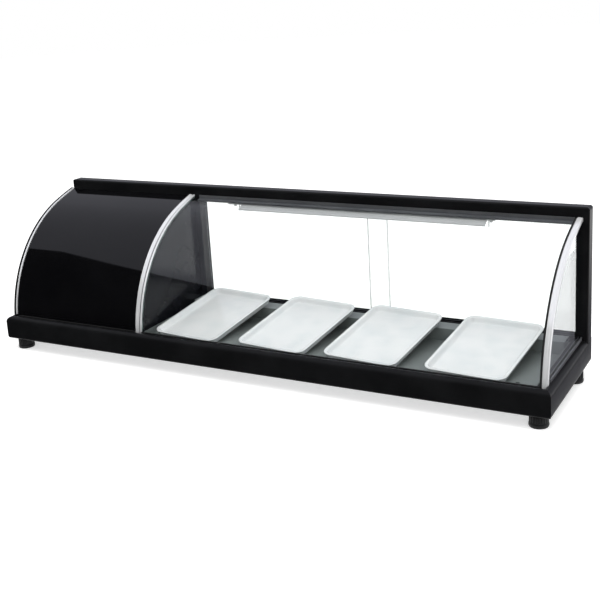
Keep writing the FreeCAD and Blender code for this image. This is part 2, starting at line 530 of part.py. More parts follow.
def plate_body():
    """A rectangular porcelain plate with rounded corners, flared walls and a flat rim."""
    corner, shell, rim = 18.5, 3.0, 6.0
    outer = Part.makeLoft([rounded_rectangle(PLATE_WIDTH, PLATE_LENGTH, corner, 0, PLATE_DRAFT),
                           rounded_rectangle(PLATE_WIDTH, PLATE_LENGTH, corner, PLATE_HEIGHT - 2.5, 1.0),
                           ], True, True)
    lip = Part.Face(rounded_rectangle(PLATE_WIDTH, PLATE_LENGTH, corner, PLATE_HEIGHT - 2.5)).extrude(V(0, 0, 2.5))
    bowl = Part.makeLoft([rounded_rectangle(PLATE_WIDTH, PLATE_LENGTH, corner, shell, PLATE_DRAFT + shell + 2),
                          rounded_rectangle(PLATE_WIDTH, PLATE_LENGTH, corner, PLATE_HEIGHT + 0.5, rim)],
                         True, True)
    return outer.fuse(lip).cut(bowl).removeSplitter()


def make_plates():
    """Plates stand with their front on the floor and their back on the rear shelf's edge."""
    plate = plate_body()
    plate.translate(V(0, PLATE_LENGTH / 2 - PLATE_DRAFT, 0))
    rise = math.degrees(math.asin((SHELF_RISE + SKEW_CLEARANCE) / (SHELF_Y - PLATE_FOOT_Y)))
    plate.rotate(V(0, 0, 0), V(1, 0, 0), rise)
    for i, (x, turn_deg) in enumerate(PLATE_PLACES):
        copy = plate.translated(V(x, PLATE_FOOT_Y, FLOOR_Z + GAP))
        copy.rotate(V(x, PLATE_FOOT_Y + PLATE_LENGTH / 2 - PLATE_DRAFT, 0), V(0, 0, 1), turn_deg)
        parts["plate_%d" % (i + 1)] = copy


# ---------------------------------------------------------------- lamp
LAMP_X0, LAMP_X1 = LEFT + 430.0, LEFT + 926.0
LAMP_TUBE_Y, LAMP_TUBE_Z, LAMP_TUBE_R = FRAME_Y - 5.0, BASE_Z + 241.5, 4.0
SHADE_TOP = V(0, FRAME_Y - STRIP - 1.0, LIP_Z - 2.0)
SHADE_EDGE = V(0, FRONT + 217.5, BASE_Z + 241.0)


def make_lamp():
    """A slanting shade under the rail's lip, with a tube light behind it on two end brackets."""
    down = (SHADE_EDGE - SHADE_TOP).normalize()
    thick = V(0, down.z, -down.y) * 1.2
    if thick.z > 0:
        thick = thick * -1
    lip_in = V(0, 3.5, -2.2)
    outline = [SHADE_TOP, SHADE_EDGE, SHADE_EDGE + lip_in, SHADE_EDGE + lip_in + V(0, 0.8, 0.9),
               SHADE_EDGE + thick + V(0, 1.2, 0.3), SHADE_TOP + thick]
    shade = prism([V(LAMP_X0, p.y, p.z) for p in outline], V(LAMP_X1 - LAMP_X0, 0, 0))
    parts["lamp_shade"] = shade
    inset, cap = 6.0, 14.0
    x0, x1 = LAMP_X0 + inset, LAMP_X1 - inset
    axis = V(1, 0, 0)
    at = lambda x: V(x, LAMP_TUBE_Y, LAMP_TUBE_Z)
    parts["lamp_tube"] = rod(LAMP_TUBE_R, x1 - x0 - 2 * cap, at(x0 + cap), axis)
    holders = []
    for start in (x0, x1 - cap):
        block = rod(LAMP_TUBE_R + 1.2, cap, at(start), axis)
        stem = box(start + 2, start + cap - 2, LAMP_TUBE_Y - 3, LAMP_TUBE_Y + 3, LAMP_TUBE_Z, LIP_Z - 2)
        holder = block.fuse(stem).removeSplitter().cut(shade)
        holders.append(max(holder.Solids, key=lambda s: s.Volume))
    for x, reach in ((LAMP_X0, -30.0), (LAMP_X1, 14.0)):
        arm = box(min(x, x + reach), max(x, x + reach), FRAME_Y - 7, FRAME_Y - 1.5, LIP_Z - 4.5, LIP_Z - 2)
        screw = rod(2.6, 3.0, V(x + reach / 2, FRAME_Y - 4.2, LIP_Z - 7.5))
        pin = rod(0.9, 12.0, V(x + reach * 0.2, FRAME_Y - 4.2, LIP_Z - 16.5))
        holders.append(arm.fuse([screw, pin]).removeSplitter())
    parts["lamp_brackets"] = group(holders)


# ---------------------------------------------------------------- machine compartment
PANEL_Y = BACK - 16.0                     # rear service panel, set back behind the frame's face
COMPRESSOR = V(LEFT + 208.0, 22.0, BASE_Z + 3.5)
COIL_X0, COIL_X1 = LEFT + 34.0, LEFT + 60.0
COIL_Y0, COIL_Y1 = -42.0, 82.0
COIL_Z0, COIL_Z1 = BASE_Z + 12.0, BASE_Z + 142.0
FAN_AXIS = V(0, (COIL_Y0 + COIL_Y1) / 2, (COIL_Z0 + COIL_Z1) / 2)
FAN_X0 = COIL_X1 + 1.0
FAN_DEPTH = 26.0
FAN_RADIUS = 56.0


def bent_pipe(points, radius, bend):
    """A tube along straight runs joined by tangent arcs of one bend radius."""
    edges, last = [], points[0]
    for before, corner, after in zip(points, points[1:], points[2:]):
        a, b = (before - corner).normalize(), (after - corner).normalize()
        half = a.getAngle(b) / 2
        trim = bend / math.tan(half)
        start, end = corner + a * trim, corner + b * trim
        bisector = (a + b).normalize()
        middle = corner + bisector * (bend / math.sin(half) - bend)
        edges += [Part.makeLine(last, start), Part.Arc(start, middle, end).toShape()]
        last = end
    edges.append(Part.makeLine(last, points[-1]))
    path = Part.Wire(edges)
    way = (points[1] - points[0]).normalize()
    circle = Part.Wire(Part.makeCircle(radius, points[0], way))
    return path.makePipeShell([circle], True, True)


def make_refrigeration():
    """Compressor on rubber mounts, condenser with its fan, drier and the connecting pipes."""
    c, shell_r, shell_h, lift = COMPRESSOR, 56.0, 118.0, 14.0
    dome = 22.0
    outline = [V(0, 0, 0), V(shell_r - 14, 0, 0), V(shell_r, 0, dome * 0.6), V(shell_r, 0, shell_h - dome),
               V(shell_r - 14, 0, shell_h - 5), V(shell_r - 34, 0, shell_h), V(0, 0, shell_h)]
    shell = Part.Face(Part.makePolygon(outline + [outline[0]])).revolve(V(0, 0, 0), V(0, 0, 1), 360)
    shell = shell.translated(V(c.x, c.y, c.z + lift))
    plate = box(c.x - 62, c.x + 62, c.y - 40, c.y + 40, c.z + lift - 2.5, c.z + lift)
    mount_places = [(c.x + sx * 54, c.y + sy * 32) for sx in (-1, 1) for sy in (-1, 1)]
    plate = plate.cut([rod(5.0, 6, V(x, y, c.z + lift - 4)) for x, y in mount_places])
    head_z = c.z + lift + shell_h
    pipe, discharge_at, suction_at = 3.0, V(c.x - 30, c.y, head_z - 6), V(c.x + 25, c.y + 10, head_z - 6)
    sockets = [rod(pipe + 0.1, 10, at - V(0, 0, 0.2)) for at in (discharge_at, suction_at)]
    parts["compressor_shell"] = shell.fuse(plate).removeSplitter().cut(sockets)
    grommets = []
    for x, y in mount_places:
        body = rod(8.0, lift - 2.5, V(x, y, c.z)).fuse(rod(5.0, 2.5, V(x, y, c.z + lift - 2.5)))
        grommets.append(body.fuse(rod(8.0, 2.5, V(x, y, c.z + lift))).removeSplitter())
    parts["compressor_mounts"] = group(grommets)
    terminal = box(c.x + 40, c.x + shell_r + 18, c.y - 20, c.y + 20, c.z + lift + 30, c.z + lift + 74)
    parts["terminal_box"] = terminal.cut(shell)

    rows, tube_r, over = 5, 4.0, 4.0
    pitch_z = (COIL_Z1 - COIL_Z0) / rows
    passes = []
    for i in range(rows):
        z = COIL_Z0 + pitch_z * (i + 0.5)
        passes += [V(COIL_X0 + 7, 0, z), V(COIL_X0 + 19, 0, z)]
    bores = [rod(tube_r + 0.1, COIL_Y1 - COIL_Y0 + 12, p + V(0, COIL_Y0 - 6, 0), V(0, 1, 0)) for p in passes]
    fin_count = 16
    fin_pitch = (COIL_Y1 - COIL_Y0 - 1.0) / (fin_count - 1)
    fin = box(COIL_X0, COIL_X1, COIL_Y0, COIL_Y0 + 1.0, COIL_Z0, COIL_Z1).cut(bores)
    parts["condenser_fins"] = group([fin.translated(V(0, i * fin_pitch, 0)) for i in range(fin_count)])
    tubes = coil([p + V(0, COIL_Y0 - over, 0) for p in passes], V(0, 1, 0), 0.0,
                 COIL_Y1 - COIL_Y0 + 2 * over, tube_r)
    tubes.rotate(FAN_AXIS, V(0, 0, 1), 180)
    tubes.translate(V(COIL_X0 + COIL_X1 - 2 * FAN_AXIS.x, 0, 0))
    parts["condenser_tube"] = tubes
    cheeks = [box(COIL_X0, FAN_X0, y, y + 1.5, BASE_Z + 3.5, COIL_Z1).cut(bores)
              for y in (COIL_Y0 - 2.5, COIL_Y1 + 1)]
    shroud = box(FAN_X0, FAN_X0 + 1.5, COIL_Y0 - 2.5, COIL_Y1 + 2.5, BASE_Z + 3.5, COIL_Z1)
    ring = tube(FAN_RADIUS + 5, FAN_RADIUS + 3, FAN_DEPTH, V(FAN_X0, FAN_AXIS.y, FAN_AXIS.z), V(1, 0, 0))
    shroud = shroud.cut(rod(FAN_RADIUS + 3, 4, V(FAN_X0 - 1, FAN_AXIS.y, FAN_AXIS.z), V(1, 0, 0))).fuse(ring)
    motor_x = FAN_X0 + FAN_DEPTH + 4
    spokes = []
    for deg in (45, 135, 225, 315):
        arm = box(motor_x - 4, motor_x, -2, 2, 17.5, FAN_RADIUS + 4.5)
        arm.rotate(V(0, 0, 0), V(1, 0, 0), deg)
        spokes.append(arm.translated(V(0, FAN_AXIS.y, FAN_AXIS.z)))
    hub_ring = tube(21, 17, 4, V(motor_x - 4, FAN_AXIS.y, FAN_AXIS.z), V(1, 0, 0))
    rim_ring = tube(FAN_RADIUS + 5, FAN_RADIUS + 3, 4, V(motor_x - 4, FAN_AXIS.y, FAN_AXIS.z), V(1, 0, 0))
    parts["fan_shroud"] = shroud.fuse([hub_ring, rim_ring] + spokes + cheeks).removeSplitter()
    motor = rod(17, 34, V(motor_x - 4, FAN_AXIS.y, FAN_AXIS.z), V(1, 0, 0))
    motor = motor.fuse(rod(24, 26, V(motor_x, FAN_AXIS.y, FAN_AXIS.z), V(1, 0, 0)))
    shaft = rod(2.0, 20, V(motor_x - 24, FAN_AXIS.y, FAN_AXIS.z), V(1, 0, 0))
    parts["fan_motor"] = motor.fuse(shaft).removeSplitter()

    hub = tube(14, 2.05, 14, V(FAN_X0 + 8, FAN_AXIS.y, FAN_AXIS.z), V(1, 0, 0))
    blades = []
    for i in range(5):
        wing = box(-1.0, 1.0, -15, 15, 12, FAN_RADIUS)
        wing = wing.common(rod(FAN_RADIUS, 4, V(-2, 0, 0), V(1, 0, 0)))
        wing.rotate(V(0, 0, 0), V(0, 0, 1), 24)
        wing = wing.cut(rod(2.05, 40, V(-20, 0, 0), V(1, 0, 0)))
        wing.rotate(V(0, 0, 0), V(1, 0, 0), 72.0 * i)
        blades.append(wing.translated(V(FAN_X0 + 15, FAN_AXIS.y, FAN_AXIS.z)))
    parts["fan_blades"] = hub.fuse(blades).removeSplitter()

    drier_x, drier_y = c.x + 10, c.y + 72
    drier_z0, drier_z1 = BASE_Z + 30, BASE_Z + 110
    drier = rod(8, drier_z1 - drier_z0, V(drier_x, drier_y, drier_z0))
    drier = round_edges(drier, 3.5, lambda e: e.Closed and not isinstance(e.Curve, Part.Line))
    parts["filter_drier"] = drier

    rear_y, low_z = COIL_Y1 + 18.0, BASE_Z + 8.0
    outlet = V(COIL_X1 - 7, COIL_Y1 + over, COIL_Z0 + pitch_z / 2)
    inlet = V(COIL_X1 - 19, COIL_Y1 + over, COIL_Z1 - pitch_z / 2)
    discharge = bent_pipe([discharge_at, V(discharge_at.x, c.y, head_z + 12),
                           V(COIL_X1 + 60, rear_y, head_z + 12), V(inlet.x, rear_y, head_z + 12),
                           V(inlet.x, rear_y, inlet.z), inlet], pipe, 8.0)
    liquid = bent_pipe([outlet, V(outlet.x, rear_y, outlet.z), V(COIL_X1 + 60, rear_y, outlet.z),
                        V(COIL_X1 + 60, rear_y, low_z), V(drier_x, drier_y, low_z),
                        V(drier_x, drier_y, drier_z0)], pipe, 7.0)
    feed = bent_pipe([V(drier_x, drier_y, drier_z1), V(drier_x, drier_y, drier_z1 + 20),
                      V(c.x + 84, drier_y, drier_z1 + 20), V(c.x + 84, EVAPORATOR_Y0, EVAPORATOR_Z + 60),
                      V(c.x + 84, EVAPORATOR_Y0, EVAPORATOR_Z),
                      V(DIVIDER_X0 - 8, EVAPORATOR_Y0, EVAPORATOR_Z)], 2.0, 6.0)
    suction = bent_pipe([V(DIVIDER_X0 - 8, EVAPORATOR_Y1, EVAPORATOR_Z),
                         V(c.x + 72, EVAPORATOR_Y1, EVAPORATOR_Z), V(c.x + 72, EVAPORATOR_Y1, head_z + 10),
                         V(suction_at.x, suction_at.y, head_z + 10), suction_at], pipe, 8.0)
    parts["refrigerant_pipes"] = group([discharge, liquid, feed, suction])


PANEL_X0, PANEL_X1 = FRAME_LEFT + POST_WIDTH, MID_POST_X0
KNOB = V(LEFT + 225, PANEL_Y, RAIL_Z - 34)
ROCKER = V(LEFT + 275, PANEL_Y, RAIL_Z - 34)
GLAND = V(LEFT + 70, PANEL_Y, CREST_Z + 24)


def threads_through(places):
    """Screw holes through the service panel and the cleats behind it."""
    return [rod(2.0, 12, V(x, PANEL_Y - 11, z), V(0, 1, 0)) for x, z in places]


def make_service_panel():
    """Rear panel of the machine compartment with its controls, cable gland and screws."""
    sheet = 1.5
    panel = box(PANEL_X0, PANEL_X1, PANEL_Y - sheet, PANEL_Y, CREST_Z, RAIL_Z + 12)
    vents = [slot_cutter(150, 6, 4, V((PANEL_X0 + PANEL_X1) / 2 - 20, PANEL_Y - 3, CREST_Z + 50 + 13 * i),
                         V(1, 0, 0), V(0, 1, 0)) for i in range(9)]
    holes = [rod(6.0, 4, KNOB - V(0, 3, 0), V(0, 1, 0)), rod(7.0, 4, GLAND - V(0, 3, 0), V(0, 1, 0)),
             box(ROCKER.x - 9.5, ROCKER.x + 9.5, PANEL_Y - 3, PANEL_Y + 1, ROCKER.z - 13.5, ROCKER.z + 13.5)]
    middle_z = (CREST_Z + RAIL_Z) / 2
    screw_places = [(x, z) for x in (PANEL_X0 + 8, PANEL_X1 - 8)
                    for z in (CREST_Z + 10, middle_z, RAIL_Z - 10)]
    threads = threads_through(screw_places)
    parts["rear_service_panel"] = panel.cut(vents + holes + threads)
    cleats = []
    for x, way in ((PANEL_X0, 1), (PANEL_X1, -1)):
        flat = box(min(x, x + 14 * way), max(x, x + 14 * way), PANEL_Y - sheet - 2, PANEL_Y - sheet,
                   CREST_Z, RAIL_Z)
        web = box(min(x, x + 1.5 * way), max(x, x + 1.5 * way), FRAME_Y + 1, PANEL_Y - sheet, CREST_Z, RAIL_Z)
        cleats.append(flat.fuse(web).removeSplitter().cut(threads_through(screw_places)))
    parts["panel_cleats"] = group(cleats)
    screws = []
    for x, z in screw_places:
        head = rod(4.0, 2.2, V(x, PANEL_Y, z), V(0, 1, 0))
        head = head.cut(box(x - 0.5, x + 0.5, PANEL_Y + 1.2, PANEL_Y + 3, z - 3, z + 3))
        head = head.cut(box(x - 3, x + 3, PANEL_Y + 1.2, PANEL_Y + 3, z - 0.5, z + 0.5))
        screws.append(head.fuse(rod(2.0, 9.0, V(x, PANEL_Y - 9.0, z), V(0, 1, 0))).removeSplitter())
    parts["panel_screws"] = group(screws)

    body = box(KNOB.x - 20, KNOB.x + 20, PANEL_Y - sheet - 26, PANEL_Y - sheet, KNOB.z - 16, KNOB.z + 16)
    neck = rod(5.8, sheet + 3.0, KNOB - V(0, sheet, 0), V(0, 1, 0))
    parts["thermostat"] = body.fuse(neck).removeSplitter().cut(rod(3.05, 24, KNOB - V(0, 14, 0), V(0, 1, 0)))
    knob = rod(13, 9.0, KNOB + V(0, 3.6, 0), V(0, 1, 0))
    knob = round_edges(knob, 1.2, lambda e: e.Closed and e.CenterOfMass.y > PANEL_Y + 12)
    flutes = [rod(1.6, 12, KNOB + V(14.0 * math.cos(a), 2.0, 14.0 * math.sin(a)), V(0, 1, 0))
              for a in (2 * math.pi * i / 16 for i in range(16))]
    knob = knob.cut(flutes)
    pointer = box(KNOB.x - 0.7, KNOB.x + 0.7, PANEL_Y + 12.2, PANEL_Y + 14, KNOB.z + 3, KNOB.z + 12)
    stem = rod(3.0, 16, KNOB + V(0, -11.0, 0), V(0, 1, 0))
    parts["thermostat_knob"] = knob.cut(pointer).fuse(stem).removeSplitter()

    bezel = box(ROCKER.x - 12, ROCKER.x + 12, PANEL_Y, PANEL_Y + 2, ROCKER.z - 16, ROCKER.z + 16)
    socket = box(ROCKER.x - 9.3, ROCKER.x + 9.3, PANEL_Y - 18, PANEL_Y, ROCKER.z - 13.3, ROCKER.z + 13.3)
    well = box(ROCKER.x - 7.5, ROCKER.x + 7.5, PANEL_Y - 13, PANEL_Y + 3, ROCKER.z - 11.5, ROCKER.z + 11.5)
    frame = bezel.fuse(socket).cut(well).removeSplitter()
    pivot = V(0, PANEL_Y - 4.0, ROCKER.z)
    ear_holes = rod(1.55, 30, V(ROCKER.x - 15, pivot.y, pivot.z), V(1, 0, 0))
    ear_span = box(ROCKER.x - 8.8, ROCKER.x + 8.8, pivot.y - 3, pivot.y + 3, pivot.z - 3, pivot.z + 3)
    parts["switch_frame"] = frame.cut(ear_holes.common(ear_span))
    tilt = 9.0
    profile = [V(0, -2, -10.2), V(0, 5.8, -10.2), V(0, 3.6, 0), V(0, 3.6, 10.2 * 0.2), V(0, 5.8, 10.2),
               V(0, -2, 10.2), V(0, -6.5, 0)]
    rocker = prism([V(ROCKER.x - 7.1, p.y, p.z) for p in profile], V(14.2, 0, 0))
    rocker = rocker.fuse(rod(1.5, 16.8, V(ROCKER.x - 8.4, 0, 0), V(1, 0, 0))).removeSplitter()
    rocker.rotate(V(ROCKER.x, 0, 0), V(1, 0, 0), tilt)
    parts["lamp_switch_rocker"] = rocker.translated(V(0, pivot.y, pivot.z))

    gland = rod(6.8, 16, GLAND - V(0, 8.0, 0), V(0, 1, 0))
    flange = Part.Face(Part.makePolygon([GLAND + V(10.5 * math.cos(a), 0, 10.5 * math.sin(a))
                                         for a in (math.pi / 3 * i for i in range(7))])).extrude(V(0, 6, 0))
    nut = tube(10.0, 6.8, 4.0, GLAND - V(0, sheet + 4.0, 0), V(0, 1, 0))
    whole = gland.fuse([flange, nut]).removeSplitter()
    parts["cable_gland"] = whole.cut(rod(3.6, 30, GLAND - V(0, 15, 0), V(0, 1, 0)))


def main():
    """Builds every piece and writes one STEP file each."""
    rails = make_base()
    make_feet()
    make_rear_frame(rails)
    make_doors()
    make_front(rails)
    make_deck()
    make_plates()
    make_lamp()
    make_refrigeration()
    make_service_panel()
    os.makedirs("parts", exist_ok=True)
    for name, shape in sorted(parts.items()):
        solids = shape.Solids
        ok = all(s.isValid() and s.Volume > 0 for s in solids)
        b = shape.BoundBox
        print("%-22s %2d solid%s  valid=%s  x %.1f..%.1f  y %.1f..%.1f  z %.1f..%.1f" % (
            name, len(solids), "s" if len(solids) > 1 else " ", ok, b.XMin, b.XMax, b.YMin, b.YMax, b.ZMin,
            b.ZMax))
        shape.exportStep("parts/%s.step" % name)
    print("bend radii: lower %.1f, upper %.1f" % (R_LOW, R_HIGH))
    print(len(parts), "nodes")


main()
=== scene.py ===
"""Looks of a countertop bakery display case: surfaces, finishes, studio and camera.

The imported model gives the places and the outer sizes. New pieces are worked out with numpy as
functions of two parameters. Lengths are in metres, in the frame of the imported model, and MM turns
millimetres into them.
"""

import logging
import math
from collections.abc import Callable, Sequence
from dataclasses import dataclass, field
from enum import Enum

import bpy
import numpy as np
from mathutils import Matrix, Vector


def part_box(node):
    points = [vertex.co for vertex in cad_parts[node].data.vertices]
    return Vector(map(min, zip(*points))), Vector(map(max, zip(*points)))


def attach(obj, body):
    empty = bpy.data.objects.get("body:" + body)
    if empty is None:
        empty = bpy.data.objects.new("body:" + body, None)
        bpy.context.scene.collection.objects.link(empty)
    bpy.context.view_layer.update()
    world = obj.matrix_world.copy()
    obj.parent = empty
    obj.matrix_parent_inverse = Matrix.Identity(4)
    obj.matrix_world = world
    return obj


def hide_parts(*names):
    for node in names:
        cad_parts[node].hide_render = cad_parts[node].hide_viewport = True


Array = np.ndarray
MM = 0.001
log = logging.getLogger("display_case")

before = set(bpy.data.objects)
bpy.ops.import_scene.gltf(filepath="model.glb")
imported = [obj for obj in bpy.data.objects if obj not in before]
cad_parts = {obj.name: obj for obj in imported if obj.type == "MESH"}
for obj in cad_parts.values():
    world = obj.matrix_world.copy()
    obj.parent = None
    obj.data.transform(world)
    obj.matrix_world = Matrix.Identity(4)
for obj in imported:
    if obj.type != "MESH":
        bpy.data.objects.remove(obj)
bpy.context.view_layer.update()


# ------------------------------------------------------------------------------- meshes
def grid_quads(rows: int, columns: int, close_columns: bool) -> Array:
    """Quads of a grid whose point (i, j) has number i * columns + j.

    Args:
        rows: Number of rows of points.
        columns: Number of points in a row.
        close_columns: Whether each row's last point joins its first.

    Returns:
        An integer array with four point numbers per quad.
    """
    i = np.arange(rows - 1)[:, None]
    j = np.arange(columns if close_columns else columns - 1)[None, :]
    i2, j2 = i + 1, (j + 1) % columns
    corners = [i * columns + j, i * columns + j2, i2 * columns + j2, i2 * columns + j]
    return np.stack([np.broadcast_to(c, (i.size, j.size)) for c in corners], axis=-1).reshape(-1, 4)


def surface(name: str, points: Array, close_columns: bool = False, cap_ends: bool = False,
            sharp_deg: float = 32.0) -> bpy.types.Object:
    """Makes a smooth-shaded mesh from a grid of points.

    Args:
        name: Name of the piece.
        points: Array of shape (rows, columns, 3).
        close_columns: Whether each row is a closed ring.
        cap_ends: Whether the first and last rings are filled with a flat face.
        sharp_deg: Edges that bend more than this stay crisp.

    Returns:
        The new object, at the origin.
    """
    rows, columns = points.shape[:2]
    faces = grid_quads(rows, columns, close_columns).tolist()
    if cap_ends:
        ring = np.arange(columns)
        faces += [ring[::-1].tolist(), (ring + (rows - 1) * columns).tolist()]
    mesh = bpy.data.meshes.new(name)
    mesh.from_pydata(points.reshape(-1, 3).tolist(), [], faces)
    mesh.polygons.foreach_set("use_smooth", np.ones(len(mesh.polygons), bool))
    mesh.set_sharp_from_angle(angle=math.radians(sharp_deg))
    mesh.update()
    piece = bpy.data.objects.new(name, mesh)
    bpy.context.scene.collection.objects.link(piece)
    return piece


def joined(name: str, pieces: Sequence[bpy.types.Object]) -> bpy.types.Object:
    """Joins several meshes into one piece.

    Args:
        name: Name of the piece that is left.
        pieces: Meshes to join; they stop existing on their own.

    Returns:
        The joined object.
    """
    with bpy.context.temp_override(active_object=pieces[0], selected_objects=list(pieces),
                                   selected_editable_objects=list(pieces)):
        bpy.ops.object.join()
    pieces[0].name = name
    pieces[0].data.name = name
    return pieces[0]


def lathe(profile: Array, turns: Array, ripple: Callable[[Array, Array], Array]) -> Array:
    """Points of a turned shape about +Z: each profile point (r, z) goes round at the given angles.

    Args:
        profile: Array of shape (n, 2) with radius and height.
        turns: Angles in radians.
        ripple: Adds to the radius, as a function of angle and height.

    Returns:
        Array of shape (n, len(turns), 3).
    """
    angle = turns[None, :]
    radius = profile[:, :1] + ripple(angle, profile[:, 1:])
    height = np.broadcast_to(profile[:, 1:], radius.shape)
    return np.stack([radius * np.cos(angle), radius * np.sin(angle), height], axis=-1)


def full_turn(steps: int) -> Array:
    """Evenly spaced angles of a full turn, the last one short of the first."""
    return np.linspace(0, 2 * math.pi, steps, endpoint=False)


def turned(degrees: float) -> Matrix:
    """A turn about +Z."""
    return Matrix.Rotation(math.radians(degrees), 4, "Z")


def arc_points(centre: tuple[float, float], radius: float, start_deg: float, end_deg: float,
               steps: int) -> Array:
    """Points of a flat arc: centre plus radius times cosine and sine of the angle.

    Args:
        centre: The arc's middle.
        radius: Its radius.
        start_deg: Angle of the first point.
        end_deg: Angle of the last point.
        steps: Number of points.

    Returns:
        Array of shape (steps, 2).
    """
    angle = np.radians(np.linspace(start_deg, end_deg, steps))
    return np.stack([centre[0] + radius * np.cos(angle), centre[1] + radius * np.sin(angle)], axis=-1)


def rounded_rectangle(low: tuple[float, float], high: tuple[float, float], radius: float,
                      steps: int) -> Array:
    """Counter-clockwise outline of a rectangle with rounded corners, as points of four arcs.

    Args:
        low: Lower left corner.
        high: Upper right corner.
        radius: Radius of the corners.
        steps: Points on each corner.

    Returns:
        Array of shape (4 * steps, 2).
    """
    (x0, y0), (x1, y1) = low, high
    return np.concatenate([
        arc_points((x1 - radius, y1 - radius), radius, 0, 90, steps),
        arc_points((x0 + radius, y1 - radius), radius, 90, 180, steps),
        arc_points((x0 + radius, y0 + radius), radius, 180, 270, steps),
        arc_points((x1 - radius, y0 + radius), radius, 270, 360, steps)])


def supported(outline: Array, near: float) -> Array:
    """Adds a point near both ends of every long side of a closed outline, so wide faces shade flat.

    Args:
        outline: Points of the outline, shape (n, 2).
        near: Distance of the new points from the corners.

    Returns:
        The outline with its new points, in order.
    """
    following = np.roll(outline, -1, axis=0)
    length = np.linalg.norm(following - outline, axis=1)
    step = (following - outline) / np.maximum(length, 1e-9)[:, None] * near
    long_side = length > 4 * near
    candidates = np.stack([outline, outline + step, following - step], axis=1)
    return candidates[np.stack([np.ones_like(long_side), long_side, long_side], axis=1)]


def smooth_through(control: Array, steps: int) -> Array:
    """Catmull-Rom curve through control points, the same number of steps on each span.

    Each span is the cubic whose end tangents are half the step between the neighbours.

    Args:
        control: Control points, shape (n, 2).
        steps: Points on each span.

    Returns:
        Array of shape ((n - 1) * steps + 1, 2).
    """
    padded = np.concatenate([control[:1] * 2 - control[1:2], control, control[-1:] * 2 - control[-2:-1]])
    a, b, c, d = padded[:-3], padded[1:-2], padded[2:-1], padded[3:]
    t = np.linspace(0, 1, steps, endpoint=False)[None, :, None]
    a, b, c, d = (p[:, None, :] for p in (a, b, c, d))
    spans = 0.5 * (2 * b + (c - a) * t + (2 * a - 5 * b + 4 * c - d) * t**2 + (3 * b - a - 3 * c + d) * t**3)
    return np.concatenate([spans.reshape(-1, control.shape[1]), control[-1:]])


# ------------------------------------------------------------------------------- shader maths
class Link:
    """A shader socket that Python expressions build Math nodes on."""

    def __init__(self, graph: "Graph", socket: bpy.types.NodeSocket) -> None:
        """Keeps the graph and the output socket."""
        self.graph = graph
        self.socket = socket

    def _math(self, operation: str, *values: "Link | float") -> "Link":
        """Adds a Math node on these values, in order."""
        return self.graph.add("ShaderNodeMath", {"operation": operation}, dict(enumerate(values)))

    def __add__(self, other: "Link | float") -> "Link":
        """Sum."""
        return self._math("ADD", self, other)

    def __radd__(self, other: float) -> "Link":
        """Sum with the number first."""
        return self._math("ADD", other, self)

    def __sub__(self, other: "Link | float") -> "Link":
        """Difference."""
        return self._math("SUBTRACT", self, other)

    def __rsub__(self, other: float) -> "Link":
        """Difference with the number first."""
        return self._math("SUBTRACT", other, self)

    def __mul__(self, other: "Link | float") -> "Link":
        """Product."""
        return self._math("MULTIPLY", self, other)

    def __rmul__(self, other: float) -> "Link":
        """Product with the number first."""
        return self._math("MULTIPLY", other, self)

    def __pow__(self, other: float) -> "Link":
        """Power."""
        return self._math("POWER", self, other)

    def highest(self, other: "Link | float") -> "Link":
        """The larger of two values."""
        return self._math("MAXIMUM", self, other)

    def lowest(self, other: "Link | float") -> "Link":
        """The smaller of two values."""
        return self._math("MINIMUM", self, other)

    def ramp(self, low: float, high: float, out_low: float = 0.0, out_high: float = 1.0) -> "Link":
        """Smooth step from out_low at low to out_high at high."""
        return self.graph.add("ShaderNodeMapRange", {"interpolation_type": "SMOOTHSTEP"},
                              {0: self, 1: low, 2: high, 3: out_low, 4: out_high})


